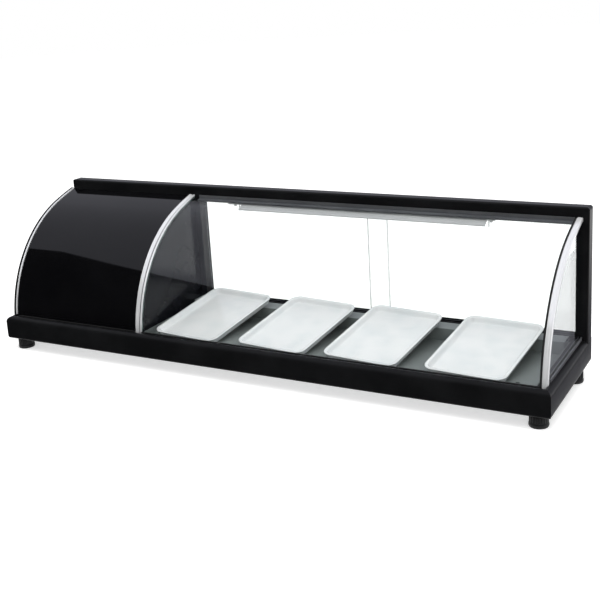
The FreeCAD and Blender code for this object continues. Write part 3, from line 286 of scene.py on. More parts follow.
class Graph:
    """A node tree of one material or world, built with expressions."""

    def __init__(self, tree: bpy.types.NodeTree) -> None:
        """Empties the tree and keeps it."""
        tree.nodes.clear()
        self.tree = tree

    def add(self, kind: str, settings: dict | None = None, sockets: dict | None = None,
            out: int | str = 0) -> Link:
        """Adds any node.

        Args:
            kind: The node's type.
            settings: Attributes set first.
            sockets: Values or links by socket name or number.
            out: Which output to return.

        Returns:
            The chosen output as a Link.
        """
        node = self.tree.nodes.new(kind)
        for key, value in (settings or {}).items():
            setattr(node, key, value)
        for key, value in (sockets or {}).items():
            if isinstance(value, Link):
                self.tree.links.new(value.socket, node.inputs[key])
            else:
                node.inputs[key].default_value = value
        return Link(self, node.outputs[out])

    def place(self, scale: tuple[float, float, float] = (1, 1, 1)) -> Link:
        """Object coordinates, stretched along the axes."""
        where = self.add("ShaderNodeTexCoord", out="Object")
        return self.add("ShaderNodeVectorMath", {"operation": "MULTIPLY"}, {0: where, 1: scale})

    def axis(self, name: str) -> Link:
        """One object coordinate in metres."""
        where = self.add("ShaderNodeTexCoord", out="Object")
        return self.add("ShaderNodeSeparateXYZ", None, {0: where}, name)

    def noise(self, where: Link, scale: float, detail: float, rough: float) -> Link:
        """Fractal noise from 0 to 1."""
        return self.add("ShaderNodeTexNoise", None,
                        {"Vector": where, "Scale": scale, "Detail": detail, "Roughness": rough})

    def mix(self, factor: Link, first: "Link | tuple", second: "Link | tuple") -> Link:
        """Blends two colours."""
        sides = [c if isinstance(c, Link) else (*c, 1.0) for c in (first, second)]
        return self.add("ShaderNodeMix", {"data_type": "RGBA"}, {0: factor, 6: sides[0], 7: sides[1]}, 2)

    def bump(self, height: Link, depth_mm: float) -> Link:
        """A Bump node for a height from 0 to 1 over a depth in millimetres."""
        return self.add("ShaderNodeBump", None, {"Distance": depth_mm * MM, "Height": height})

    def principled(self, **sockets: "Link | float | tuple") -> Link:
        """A Principled BSDF with sockets named with underscores for spaces."""
        return self.add("ShaderNodeBsdfPrincipled", None,
                        {key.replace("_", " "): value for key, value in sockets.items()})

    def output(self, shader: Link, kind: str = "ShaderNodeOutputMaterial") -> None:
        """Ends the tree with this shader as the surface of the material or the world."""
        node = self.tree.nodes.new(kind)
        self.tree.links.new(shader.socket, node.inputs["Surface"])


def new_material(name: str) -> tuple[bpy.types.Material, Graph]:
    """An empty node material and its graph.

    Args:
        name: Name of the material.

    Returns:
        The material and its graph.
    """
    material = bpy.data.materials.new(name)
    material.use_nodes = True
    return material, Graph(material.node_tree)


# ------------------------------------------------------------------------------- finishes
class Grain(Enum):
    """Fine relief of a finish."""

    SMOOTH = "smooth"
    ORANGE_PEEL = "orange_peel"
    BRUSHED = "brushed"
    PEBBLE = "pebble"
    SPANGLE = "spangle"
    DRAWN = "drawn"
    CELLS = "cells"


class Along(Enum):
    """Direction of brush or draw lines."""

    X = (0.02, 1.0, 1.0)
    Y = (1.0, 0.02, 1.0)
    Z = (1.0, 1.0, 0.02)


@dataclass(frozen=True)
class Finish:
    """An opaque finish: a colour that drifts, a grain in the surface, and a gloss that drifts too."""

    name: str
    colour: tuple[float, float, float]
    drift: tuple[float, float, float]
    roughness: tuple[float, float]
    grain: Grain
    relief_mm: float
    metallic: float = 0.0
    specular: float = 0.5
    along: Along = Along.X
    patch_scale: float = 14.0

    def relief(self, graph: Graph) -> Link:
        """Height of the grain, from 0 to 1: noise, or the cells of a Voronoi pattern.

        Args:
            graph: The graph of the finish.

        Returns:
            The height.
        """
        if self.grain is Grain.ORANGE_PEEL:
            return graph.noise(graph.place(), 620.0, 2.0, 0.45)
        if self.grain is Grain.BRUSHED:
            return graph.noise(graph.place(self.along.value), 2600.0, 3.0, 0.7)
        if self.grain is Grain.DRAWN:
            return graph.noise(graph.place(self.along.value), 900.0, 4.0, 0.6)
        if self.grain is Grain.PEBBLE:
            return graph.add("ShaderNodeTexVoronoi", None, {"Vector": graph.place(), "Scale": 1500.0})
        if self.grain is Grain.SPANGLE:
            return graph.add("ShaderNodeTexVoronoi", {"feature": "F1"},
                             {"Vector": graph.place(), "Scale": 95.0}, "Color")
        if self.grain is Grain.CELLS:
            return graph.add("ShaderNodeTexVoronoi", {"feature": "DISTANCE_TO_EDGE"},
                             {"Vector": graph.place(), "Scale": 420.0})
        return graph.noise(graph.place(), 55.0, 1.0, 0.4)

    def build(self) -> bpy.types.Material:
        """Makes the node material."""
        material, graph = new_material(self.name)
        height = self.relief(graph)
        patches = graph.noise(graph.place(), self.patch_scale, 3.0, 0.55).ramp(0.3, 0.72)
        fine = graph.noise(graph.place(), self.patch_scale * 17.0, 2.0, 0.6)
        tone = (patches * 0.65 + fine * 0.35).lowest(1.0)
        if self.grain in (Grain.BRUSHED, Grain.DRAWN, Grain.SPANGLE):
            tone = (tone * 0.45 + height * 0.55).lowest(1.0)
        low, high = self.roughness
        rough = (patches * 0.5 + fine * 0.5) * (high - low) + low
        graph.output(graph.principled(
            Base_Color=graph.mix(tone, self.colour, self.drift), Roughness=rough,
            Metallic=self.metallic, Specular_IOR_Level=self.specular,
            Normal=graph.bump(height, self.relief_mm)))
        return material


@dataclass(frozen=True)
class ClearGlass:
    """Float glass: sees through, with faint wipe marks, and optionally with two ground ends painted dark grey
    as shade.

    The reflection is Schlick's r + (1 - r) * (1 - cos)^5, the same from both sides of a skin, with
    r the share head on. The haze of the wipe marks and specks is added to it. Past the ends the
    sheet is half covered by a dark grey ground edge, over a short fade at the cut; its darkness is
    painted shade standing in for the line that a glass edge shows.
    """

    name: str
    tint: tuple[float, float, float] = (0.988, 0.995, 0.992)
    head_on: float = 0.035
    ends: tuple[float, float] | None = None
    end_depth: float = 0.9 * MM
    end_fade: float = 0.1 * MM
    end_cover: float = 0.5

    def build(self) -> bpy.types.Material:
        """Makes the node material."""
        material, graph = new_material(self.name)
        wipe = graph.noise(graph.place((1.0, 2.2, 0.6)), 16.0, 4.0, 0.65).ramp(0.45, 0.8)
        specks = graph.noise(graph.place(), 900.0, 1.0, 0.3).ramp(0.72, 0.8)
        facing = graph.add("ShaderNodeLayerWeight", None, {"Blend": 0.5}, "Facing")
        fresnel = facing ** 5.0 * (1.0 - self.head_on) + self.head_on
        haze = wipe * 0.004 + specks * 0.01
        clear = graph.add("ShaderNodeBsdfTransparent", None, {"Color": (*self.tint, 1.0)})
        gloss = graph.principled(Base_Color=(0.98, 0.99, 0.99, 1.0), Metallic=1.0,
                                 Roughness=wipe * 0.04 + 0.015)
        sheet = graph.add("ShaderNodeMixShader", None, {0: (fresnel + haze).lowest(1.0), 1: clear, 2: gloss})
        if self.ends is None:
            graph.output(sheet)
            return material
        low, high = self.ends[0] + self.end_depth, self.ends[1] - self.end_depth
        x = graph.axis("X")
        near_end = x.ramp(low, low + self.end_fade, 1.0, 0.0).highest(x.ramp(high - self.end_fade, high))
        # Ground edge in dark grey: a real ground end, with its darkness painted shade for the edge line that
        # glass shows.
        ground = graph.principled(Base_Color=graph.mix(wipe, (0.12, 0.13, 0.14), (0.2, 0.215, 0.225)),
                                  Roughness=wipe * 0.1 + 0.25)
        graph.output(graph.add("ShaderNodeMixShader", None,
                               {0: near_end * self.end_cover, 1: sheet, 2: ground}))
        return material


@dataclass(frozen=True)
class GlassEdge:
    """Ground and polished edge of float glass, faintly green in darker and paler bands."""

    name: str
    deep: tuple[float, float, float] = (0.03, 0.055, 0.055)
    pale: tuple[float, float, float] = (0.2, 0.265, 0.26)

    def build(self) -> bpy.types.Material:
        """Makes the node material."""
        material, graph = new_material(self.name)
        bands = graph.noise(graph.place(), 60.0, 3.0, 0.6)
        ground = graph.noise(graph.place(), 2400.0, 2.0, 0.6)
        graph.output(graph.principled(
            Base_Color=graph.mix(bands.ramp(0.3, 0.75), self.deep, self.pale), Roughness=ground * 0.2 + 0.18,
            Alpha=0.82, Coat_Weight=0.3, Normal=graph.bump(ground, 0.05)))
        return material


@dataclass(frozen=True)
class Glaze:
    """White fired glaze: a body colour with thinner, bluer pools, a soft ripple and a clear coat."""

    name: str
    body: tuple[float, float, float] = (0.80, 0.807, 0.815)
    thin: tuple[float, float, float] = (0.72, 0.747, 0.762)

    def build(self) -> bpy.types.Material:
        """Makes the node material."""
        material, graph = new_material(self.name)
        pool = graph.noise(graph.place(), 26.0, 3.0, 0.5)
        ripple = graph.noise(graph.place(), 85.0, 2.0, 0.4)
        pin = graph.noise(graph.place(), 1900.0, 1.0, 0.3).ramp(0.74, 0.8)
        colour = graph.mix(pool.ramp(0.35, 0.75), self.body, self.thin)
        graph.output(graph.principled(
            Base_Color=graph.mix(pin * 0.25, colour, (0.55, 0.53, 0.5)), Roughness=pool * 0.1 + 0.09,
            Coat_Weight=0.6, Normal=graph.bump(ripple + pin * -0.2, 0.12)))
        return material


@dataclass(frozen=True)
class Diffuser:
    """Frosted white tube with a faint even glow."""

    name: str
    glow: float = 0.25

    def build(self) -> bpy.types.Material:
        """Makes the node material."""
        material, graph = new_material(self.name)
        frost = graph.noise(graph.place(), 700.0, 2.0, 0.5)
        graph.output(graph.principled(
            Base_Color=graph.mix(frost, (0.78, 0.8, 0.8), (0.7, 0.73, 0.74)), Roughness=frost * 0.2 + 0.3,
            Emission_Color=(0.95, 0.98, 1.0, 1.0), Emission_Strength=self.glow,
            Normal=graph.bump(frost, 0.03)))
        return material


class Palette:
    """Every finish of the case, built once."""

    def __init__(self) -> None:
        """Builds the materials."""
        black, soot = (0.0035, 0.0036, 0.004), (0.0075, 0.0077, 0.0085)
        self.satin_black = Finish("satin black powder coat", black, soot, (0.26, 0.38), Grain.ORANGE_PEEL,
                                  0.010, specular=0.18).build()
        self.gloss_black = Finish("glossy black sheet", (0.0018, 0.0018, 0.0022), (0.0035, 0.0035, 0.004),
                                  (0.03, 0.06), Grain.SMOOTH, 0.004, patch_scale=9.0).build()
        self.panel_black = Finish("black dividing sheet", (0.008, 0.0085, 0.0105), (0.013, 0.0135, 0.017),
                                  (0.12, 0.2), Grain.ORANGE_PEEL, 0.004, specular=0.16).build()
        self.chrome = Finish("bright chrome", (0.96, 0.965, 0.975), (0.87, 0.88, 0.895), (0.13, 0.2),
                             Grain.DRAWN, 0.006, metallic=0.5).build()
        self.anodised_black = Finish("black anodised track", (0.006, 0.006, 0.007), (0.014, 0.014, 0.016),
                                     (0.3, 0.45), Grain.DRAWN, 0.02, metallic=0.55).build()
        self.anodised_grey = Finish("natural anodised channel", (0.20, 0.205, 0.22), (0.28, 0.285, 0.30),
                                    (0.28, 0.42), Grain.DRAWN, 0.02, metallic=0.75, along=Along.Y).build()
        self.shade_metal = Finish("satin lamp shade", (0.46, 0.465, 0.465), (0.55, 0.555, 0.55),
                                  (0.34, 0.46), Grain.BRUSHED, 0.012, metallic=0.35).build()
        self.inner_sheet = Finish("brushed inner sheet", (0.19, 0.215, 0.215), (0.27, 0.29, 0.285),
                                  (0.26, 0.38), Grain.BRUSHED, 0.016, metallic=0.3).build()
        self.galvanised = Finish("galvanised sheet", (0.36, 0.37, 0.38), (0.5, 0.51, 0.52), (0.35, 0.5),
                                 Grain.SPANGLE, 0.02, metallic=0.85).build()
        self.rubber = Finish("black rubber", (0.008, 0.008, 0.008), (0.02, 0.02, 0.02), (0.6, 0.8),
                             Grain.PEBBLE, 0.05).build()
        self.moulded = Finish("moulded black plastic", (0.006, 0.006, 0.0066), (0.012, 0.012, 0.013),
                              (0.38, 0.52), Grain.PEBBLE, 0.03, specular=0.25).build()
        self.knob = Finish("fine grained knob", (0.014, 0.014, 0.015), (0.024, 0.024, 0.025), (0.42, 0.55),
                           Grain.PEBBLE, 0.02).build()
        self.foam = Finish("rigid foam", (0.62, 0.55, 0.36), (0.5, 0.42, 0.25), (0.8, 0.9), Grain.CELLS,
                           0.3).build()
        self.copper = Finish("drawn copper", (0.62, 0.27, 0.15), (0.42, 0.2, 0.12), (0.22, 0.42), Grain.DRAWN,
                             0.02, metallic=1.0).build()
        self.enamel = Finish("black enamel", (0.006, 0.006, 0.007), (0.012, 0.012, 0.013), (0.18, 0.3),
                             Grain.ORANGE_PEEL, 0.04).build()
        self.fins = Finish("thin aluminium", (0.6, 0.61, 0.63), (0.72, 0.73, 0.74), (0.3, 0.45),
                           Grain.DRAWN, 0.03, metallic=1.0, along=Along.Z).build()
        self.zinc = Finish("zinc plated steel", (0.5, 0.5, 0.49), (0.62, 0.61, 0.58), (0.22, 0.4),
                           Grain.BRUSHED, 0.01, metallic=1.0).build()
        self.glass = ClearGlass("clear float glass").build()
        self.glass_edge = GlassEdge("polished glass edge").build()
        self.porcelain = Glaze("white porcelain glaze").build()
        self.tube = Diffuser("frosted lamp tube").build()


def dress(piece: bpy.types.Object, material: bpy.types.Material) -> bpy.types.Object:
    """Gives every material slot of a piece one material, making a slot if it has none.

    Args:
        piece: The mesh object.
        material: Its finish.

    Returns:
        The same piece.
    """
    if not piece.material_slots:
        piece.data.materials.append(material)
    for slot in piece.material_slots:
        slot.material = material
    return piece


def dress_nodes(material: bpy.types.Material, *names: str) -> None:
    """Finishes carried-over CAD nodes.

    Args:
        material: Their finish.
        names: Names of the nodes.
    """
    for name in names:
        dress(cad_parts[name], material)
        log.info("finished %s with %s", name, material.name)


def fit_piece(piece: bpy.types.Object, material: bpy.types.Material, body: str, slot: str,
              *stands_for: str) -> bpy.types.Object:
    """Finishes a new piece, puts it on its body and hides the CAD nodes it stands for.

    Args:
        piece: The new mesh object.
        material: Its finish.
        body: The body it rides on.
        slot: The record's material slot; not used.
        stands_for: CAD nodes that it replaces.

    Returns:
        The same piece.
    """
    dress(piece, material)
    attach(piece, body)
    if stands_for:
        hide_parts(*stands_for)
    log.info("made %s with %d faces", piece.name, len(piece.data.polygons))
    return piece


# ------------------------------------------------------------------------------- the curved front
@dataclass(frozen=True)
class FrontCurve:
    """Two tangent arcs in the YZ plane, from the foot on the base to the head at the rear frame.

    A point is a centre plus a radius times the outward normal (-cos lean, sin lean). The centres
    and radii follow from the end points and the normal's lean at foot, bend change and head.
    """

    foot: tuple[float, float]
    head: tuple[float, float]
    leans_deg: tuple[float, float, float] = (5.6, 70.0, 75.5)
    support: float = 0.3 * MM
    steps: int = 96

    def arcs(self) -> tuple[Array, float, Array, float]:
        """Solves for both arcs: each radius times its step between normals adds up to head less foot.

        Returns:
            Centre and radius of the lower arc, then of the upper one.
        """
        lean = np.radians(self.leans_deg)
        normals = np.stack([-np.cos(lean), np.sin(lean)], axis=-1)
        steps = np.stack([normals[1] - normals[0], normals[2] - normals[1]], axis=-1)
        low, high = np.linalg.solve(steps, np.array(self.head) - np.array(self.foot))
        low_centre = np.array(self.foot) - normals[0] * low
        return low_centre, float(low), low_centre + normals[1] * (low - high), float(high)

    def points(self, inset: Array, along: Array) -> Array:
        """Points at an inset into the case, along from 0 on the base to 1 at the rear frame.

        Args:
            inset: Depths below the outer surface, shape (n,).
            along: Places from foot to head, shape (m,).

        Returns:
            Array of shape (m, n, 2) with y and z.
        """
        low_centre, low, high_centre, high = self.arcs()
        start = np.arcsin((self.foot[1] - low_centre[1]) / (low - inset))
        end = np.arccos((high_centre[0] - self.head[0]) / (high - inset))
        lean = start[None, :] + (end - start)[None, :] * along[:, None]
        upper = lean > math.radians(self.leans_deg[1])
        radius = np.where(upper, high, low) - inset[None, :]
        y = np.where(upper, high_centre[0], low_centre[0]) - radius * np.cos(lean)
        z = np.where(upper, high_centre[1], low_centre[1]) + radius * np.sin(lean)
        return np.stack([y, z], axis=-1)

    def strip(self, name: str, section: Array) -> bpy.types.Object:
        """Carries a closed section of (x, inset) points along the curve, with closed ends.

        Args:
            name: Name of the piece.
            section: Points of the section, shape (n, 2).

        Returns:
            The new object.
        """
        section = supported(section, self.support)
        path = self.points(section[:, 1], np.linspace(0, 1, self.steps))
        x = np.broadcast_to(section[None, :, :1], (self.steps, len(section), 1))
        return surface(name, np.concatenate([x, path], axis=-1), close_columns=True, cap_ends=True)


@dataclass
class FrontShell:
    """Curved pane and cover, their chrome mouldings, the flat ends and the divider."""

    palette: Palette
    pane: float = 4.0 * MM
    pane_edge: float = 0.8 * MM
    cover_skin: float = 3.0 * MM
    sheet_ease: float = 0.35 * MM
    proud: float = 2.5 * MM
    dome_power: float = 2.4
    dome_steps: int = 49
    groove_place: float = 0.3
    groove_half: float = 0.5 * MM
    groove_depth: float = 0.9 * MM
    flange_depth: float = 3.5 * MM
    flange_wall: float = 1.2 * MM
    end_insets: tuple[float, float] = (0.6 * MM, 1.2 * MM)
    curve: FrontCurve = field(init=False)

    def __post_init__(self) -> None:
        """Takes the curve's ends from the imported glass."""
        low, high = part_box("curved_front_glass")
        self.curve = FrontCurve((low.y, low.z), (high.y, high.z))

    def sheet_section(self, x0: float, x1: float, thickness: float) -> Array:
        """Section of a sheet with lightly eased edges."""
        return rounded_rectangle((x0, 0.0), (x1, thickness), self.sheet_ease, 3)

    def moulding_section(self, x0: float, x1: float, flange: bool = False) -> Array:
        """Section of a moulding: a low dome with a shallow groove along it.

        With u from -1 to 1 across it, the dome's height is (1 - |u|^p)^(1 / p) times how far it
        stands proud, and the groove takes a bell curve off it.

        Args:
            x0: Left edge.
            x1: Right edge.
            flange: Whether the right edge turns in past the sheet's face.

        Returns:
            Points of (x, inset), shape (n, 2).
        """
        u = np.cos(np.linspace(0, math.pi, self.dome_steps))
        middle, half = (x0 + x1) / 2, (x1 - x0) / 2
        groove = self.groove_depth * np.exp(-((u - self.groove_place) * half / self.groove_half) ** 2)
        height = self.proud * (1 - np.abs(u) ** self.dome_power) ** (1 / self.dome_power)
        dome = np.stack([middle + half * u, -np.maximum(height - groove, 0.0)], axis=-1)
        if not flange:
            return dome[::-1]
        side = np.array([[x1 - self.flange_wall, 0.0], [x1 - self.flange_wall, self.flange_depth],
                         [x1, self.flange_depth]])
        return np.concatenate([side, dome])[::-1]

    def build_pane(self) -> None:
        """Clear pane, with its two cut ends as a separate edge piece."""
        low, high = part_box("curved_front_glass")
        edge = self.pane_edge
        section = self.sheet_section(low.x + edge, high.x - edge, self.pane)
        clear = self.curve.strip("curved_front_pane", section)
        fit_piece(clear, self.palette.glass, "cabinet", "clear_glass", "curved_front_glass")
        ends = [self.curve.strip("curved_edge", self.sheet_section(a, b, self.pane))
                for a, b in ((low.x, low.x + edge), (high.x - edge, high.x))]
        fit_piece(joined("curved_pane_edges", ends), self.palette.glass_edge, "cabinet", "clear_glass")

    def build_cover(self) -> None:
        """Glossy curved cover of the machine compartment."""
        low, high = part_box("compressor_cover")
        cover = self.curve.strip("glossy_cover", self.sheet_section(low.x, high.x, self.cover_skin))
        fit_piece(cover, self.palette.gloss_black, "cabinet", "black_gloss", "compressor_cover")

    def build_mouldings(self) -> None:
        """Four chrome mouldings, the left end's a little narrower than its CAD node."""
        for node in ("left_arc_trim", "cover_arc_trim", "pane_arc_trim", "right_arc_trim"):
            low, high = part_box(node)
            left, right = self.end_insets if node == "left_arc_trim" else (0.0, 0.0)
            section = self.moulding_section(low.x + left, high.x - right, node == "right_arc_trim")
            strip = self.curve.strip(node.replace("trim", "moulding"), section)
            fit_piece(strip, self.palette.chrome, "cabinet", "chrome_trim", node)

    def build(self) -> None:
        """Makes and dresses the whole front."""
        self.build_pane()
        self.build_cover()
        self.build_mouldings()
        dress_nodes(self.palette.satin_black, "left_side_panel")
        dress_nodes(self.palette.panel_black, "divider_panel")
        dress_nodes(self.palette.glass, "side_glass")
        dress_nodes(self.palette.rubber, "glass_seals")
        dress_nodes(self.palette.anodised_grey, "glass_channels")


# ------------------------------------------------------------------------------- base
@dataclass
class Base:
    """Four mitred base rails with rounded crests, and the feet under them."""

    palette: Palette
    crest_radius: float = 10.0 * MM
    heel_radius: float = 5.0 * MM
    crest_inner: float = 12.0 * MM
    ledge_drop: float = 5.0 * MM
    rail_ease: float = 0.7 * MM
    rear_ease: float = 1.2 * MM
    rail_support: float = 0.8 * MM
    seam: float = 0.35 * MM
    rib_count: int = 20
    rib_height: float = 1.0 * MM
    rib_ends: tuple[float, float] = (8.2 * MM, 21.0 * MM)
    knob_top: float = 21.6 * MM
    stud_radius: float = 3.7 * MM
    thread_pitch: float = 1.25 * MM
    thread_depth: float = 0.28 * MM

    def rail_section(self, width: float, height: float) -> Array:
        """Section of a front or side rail, with a round heel and crest and a lower inner ledge.

        Args:
            width: Depth of the rail, from its outer face to its inner one.
            height: Its height.

        Returns:
            Points of depth from the outer face and height from the underside, shape (n, 2).
        """
        ledge, ease = height - self.ledge_drop, self.rail_ease
        return np.concatenate([
            arc_points((self.heel_radius, self.heel_radius), self.heel_radius, 270, 180, 9),
            arc_points((self.crest_radius, height - self.crest_radius), self.crest_radius, 180, 90, 17),
            arc_points((self.crest_inner - ease, height - ease), ease, 90, 0, 4),
            np.array([[self.crest_inner, ledge]]),
            arc_points((width - ease, ledge - ease), ease, 90, 0, 4),
            arc_points((width - ease, ease), ease, 0, -90, 4)])

    def rear_section(self, width: float, height: float) -> Array:
        """Section of the plain rear rail, with a round heel.

        Args:
            width: Depth of the rail, from its outer face to its inner one.
            height: Its height.

        Returns:
            Points of depth from the outer face and height from the underside, shape (n, 2).
        """
        ease = self.rear_ease
        return np.concatenate([
            arc_points((self.heel_radius, self.heel_radius), self.heel_radius, 270, 180, 9),
            arc_points((ease, height - ease), ease, 180, 90, 4),
            arc_points((width - ease, height - ease), ease, 90, 0, 4),
            arc_points((width - ease, ease), ease, 0, -90, 4)])

    def rail(self, name: str, section: Array, length: float, mitres: tuple[float, float],
             place: Matrix) -> bpy.types.Object:
        """Carries a section along its rail; the ends lean by the mitre and are eased at the seam.

        A point's place along the rail is depth times the start mitre, plus its share of the
        length that is left between both mitres.

        Args:
            name: Name of the piece.
            section: Points of depth and height, shape (n, 2).
            length: Length of the outer face.
            mitres: How far the start and the end lean for each unit of depth.
            place: Puts the rail, made along +X from the origin, in its place.

        Returns:
            The new object.
        """
        section = supported(section, self.rail_support)
        depth, height = section[:, 0], section[:, 1]
        share = np.concatenate([[0.0, self.seam / length], np.linspace(0.02, 0.98, 25),
                                [1 - self.seam / length, 1.0]])[:, None]
        start, end = depth * mitres[0], length - depth * mitres[1]
        along = start + share * (end - start)
        shrink = np.ones(share.shape)
        shrink[[0, -1]] = 1 - 2 * self.seam / section[:, 0].max()
        middle = section.mean(axis=0)
        depths = middle[0] + (depth - middle[0]) * shrink
        heights = middle[1] + (height - middle[1]) * shrink
        local = np.stack([along, depths, heights, np.ones(along.shape)], axis=-1)
        points = (local @ np.array(place).T)[..., :3]
        return surface(name, points, close_columns=True, cap_ends=True)

    def build_rails(self) -> None:
        """Front, side and rear rails round the base."""
        low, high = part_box("front_base_rail")
        rear_low, rear_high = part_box("rear_base_rail")
        width, rear_width, height = high.y - low.y, rear_high.y - rear_low.y, high.z - low.z
        across, deep = high.x - low.x, rear_high.y - low.y
        profile, rear = self.rail_section(width, height), self.rear_section(rear_width, height)
        front_left, front_right = Matrix.Translation(low), Matrix.Translation((high.x, low.y, low.z))
        back_left = Matrix.Translation((low.x, rear_high.y, low.z))
        back_right = Matrix.Translation((high.x, rear_high.y, low.z))
        side, back = rear_width / width, width / rear_width
        plans = (
            ("front_rail_shell", profile, across, (1.0, 1.0), front_left, "front_base_rail"),
            ("right_rail_shell", profile, deep, (1.0, side), front_right @ turned(90), "right_base_rail"),
            ("left_rail_shell", profile, deep, (side, 1.0), back_left @ turned(-90), "left_base_rail"),
            ("rear_rail_shell", rear, across, (back, back), back_right @ turned(180), "rear_base_rail"))
        for name, section, length, mitres, place, node in plans:
            rail = self.rail(name, section, length, mitres, place)
            fit_piece(rail, self.palette.satin_black, "cabinet", "black_satin", node)

    def ribs(self, angle: Array, height: Array) -> Array:
        """Rib height times |cos(ribs * angle / 2)|^0.7 between the ribs' ends, and nothing past them."""
        ribbed = (height > self.rib_ends[0]) & (height < self.rib_ends[1])
        return ribbed * np.abs(np.cos(angle * self.rib_count / 2)) ** 0.7 * self.rib_height

    def thread(self, angle: Array, height: Array) -> Array:
        """Thread depth times the cosine of 2 pi * height / pitch less the angle."""
        return self.thread_depth * np.cos(2 * math.pi * height / self.thread_pitch - angle)

    def foot(self, name: str, height: float) -> bpy.types.Object:
        """A ribbed knob with a threaded stud in it, standing on the origin.

        Args:
            name: Name of the piece.
            height: Height of the stud's top.

        Returns:
            The new object.
        """
        profile = smooth_through(np.array([
            [0.0, 0.0], [13.6, 0.0], [15.4, 0.5], [16.1, 2.0], [16.2, 4.6], [15.6, 6.6], [14.7, 8.4],
            [14.5, 12.0], [14.5, 18.6], [14.0, 20.9], [12.6, 21.6], [4.2, 21.6]]) * MM, 5)
        knob = surface("knob", lathe(profile, full_turn(160), self.ribs), close_columns=True, sharp_deg=50)
        z = np.linspace(self.knob_top, height, 96)
        post = np.stack([np.full(z.shape, self.stud_radius), z], axis=-1)
        stud = surface("stud", lathe(post, full_turn(24), self.thread), close_columns=True, cap_ends=True)
        return joined(name, [knob, stud])

    def build_feet(self) -> None:
        """Ribbed moulded feet with a threaded stud."""
        for corner in ("front_left", "front_right", "rear_left", "rear_right"):
            node = "foot_" + corner
            low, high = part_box(node)
            foot = self.foot(node + "_moulding", high.z - low.z)
            foot.data.transform(Matrix.Translation(((low.x + high.x) / 2, (low.y + high.y) / 2, low.z)))
            fit_piece(foot, self.palette.moulded, node, "foot_plastic", node)

    def build(self) -> None:
        """Makes and dresses the base."""
        self.build_rails()
        self.build_feet()
        dress_nodes(self.palette.galvanised, "bottom_pan", "corner_keys")


# ------------------------------------------------------------------------------- plates
@dataclass
class Plates:
    """Rectangular plates with a rolled rim and steep walls, leaning on the rear shelf."""

    palette: Palette
    width: float = 144.5 * MM
    length: float = 198.0 * MM
    corner: float = 18.5 * MM
    least_corner: float = 4.0 * MM
    corner_steps: int = 14
    tray_wall: float = 12.0 * MM
    foot_y: float = -86.4 * MM
    foot_lift: float = 0.4 * MM
    turns_deg: tuple[float, ...] = (-6.5, -6.5, -6.0, -4.5)
    shelf_rise: float = 23.8 * MM
    draft: float = 5.0 * MM

    def outline(self, inset: Array) -> Array:
        """Rounded-rectangle rings: corner centre plus the corner radius left at each inset.

        Args:
            inset: Depth of each ring inside the rim, shape (n,).

        Returns:
            Array of shape (n, 4 * corner_steps, 2).
        """
        steps = self.corner_steps
        radius = np.maximum(self.corner - inset, self.least_corner)[:, None]
        quarters = [np.linspace(start, start + 90, steps) for start in (0, 90, 180, 270)]
        angle = np.radians(np.concatenate(quarters))[None, :]
        sx = np.repeat([1.0, -1.0, -1.0, 1.0], steps)[None, :]
        sy = np.repeat([1.0, 1.0, -1.0, -1.0], steps)[None, :]
        x = sx * (self.width / 2 - inset[:, None] - radius) + radius * np.cos(angle)
        y = sy * (self.length / 2 - inset[:, None] - radius) + radius * np.sin(angle)
        return np.stack([x, y], axis=-1)

    def body(self, name: str) -> bpy.types.Object:
        """One plate: rings from the middle of its underside round the rim to the middle of its well.

        Args:
            name: Name of the piece.

        Returns:
            The new object, lying flat on its underside about the origin.
        """
        profile = smooth_through(np.array([
            [30.0, 1.2], [16.0, 1.1], [9.0, 0.9], [8.0, 0.1], [6.2, 0.0], [5.0, 0.6], [3.4, 4.0], [1.6, 8.2],
            [0.6, 9.6], [0.0, 10.6], [0.2, 11.6], [1.6, 12.0], [4.2, 11.9], [5.8, 11.0], [7.4, 8.2],
            [9.0, 5.2], [11.0, 3.6], [15.0, 3.1], [30.0, 3.0]]) * MM, 5)
        rings = self.outline(profile[:, 0])
        z = np.broadcast_to(profile[:, None, 1:], (*rings.shape[:2], 1))
        return surface(name, np.concatenate([rings, z], axis=-1), close_columns=True, cap_ends=True,
                       sharp_deg=60)

    def build(self) -> None:
        """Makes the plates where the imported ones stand, each turned a little about its middle."""
        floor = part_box("floor_tray")[1].z - self.tray_wall
        shelf_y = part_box("rear_plate_shelf")[0].y
        slope = math.asin(self.shelf_rise / (shelf_y - self.foot_y))
        reach = self.length / 2 - self.draft
        lean = (Matrix.Translation((0, self.foot_y, floor + self.foot_lift))
                @ Matrix.Rotation(slope, 4, "X") @ Matrix.Translation((0, reach, 0)))
        pivot = Matrix.Translation((0, self.foot_y + reach, 0))
        for number, turn in enumerate(self.turns_deg, 1):
            node = "plate_%d" % number
            low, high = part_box(node)
            plate = self.body(node + "_porcelain")
            plate.data.transform(pivot @ turned(turn) @ pivot.inverted() @ lean)
            spots = np.empty(len(plate.data.vertices) * 3)
            plate.data.vertices.foreach_get("co", spots)
            middle = (spots[::3].min() + spots[::3].max()) / 2
            plate.data.transform(Matrix.Translation(((low.x + high.x) / 2 - middle, 0, 0)))
            fit_piece(plate, self.palette.porcelain, node, "porcelain", node)


# ------------------------------------------------------------------------------- the rest
@dataclass
class RearFrame:
    """Posts, top rail, door tracks and the two sliding panes."""

    palette: Palette

    def build(self) -> None:
        """Dresses the frame and the doors."""
        dress_nodes(self.palette.satin_black, "left_rear_post", "middle_rear_post", "right_rear_post",
                    "top_rail")
        dress_nodes(self.palette.anodised_black, "upper_door_track", "lower_door_track")
        for node in ("sliding_door_left", "sliding_door_right"):
            low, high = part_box(node)
            # The ends give each door's glass a dark grey band at both sides, painted shade for its edge line.
            glass = ClearGlass(node.replace("_", " ") + " glass", ends=(low.x, high.x)).build()
            dress_nodes(glass, node)
        dress_nodes(self.palette.moulded, "door_glides_left", "door_glides_right")


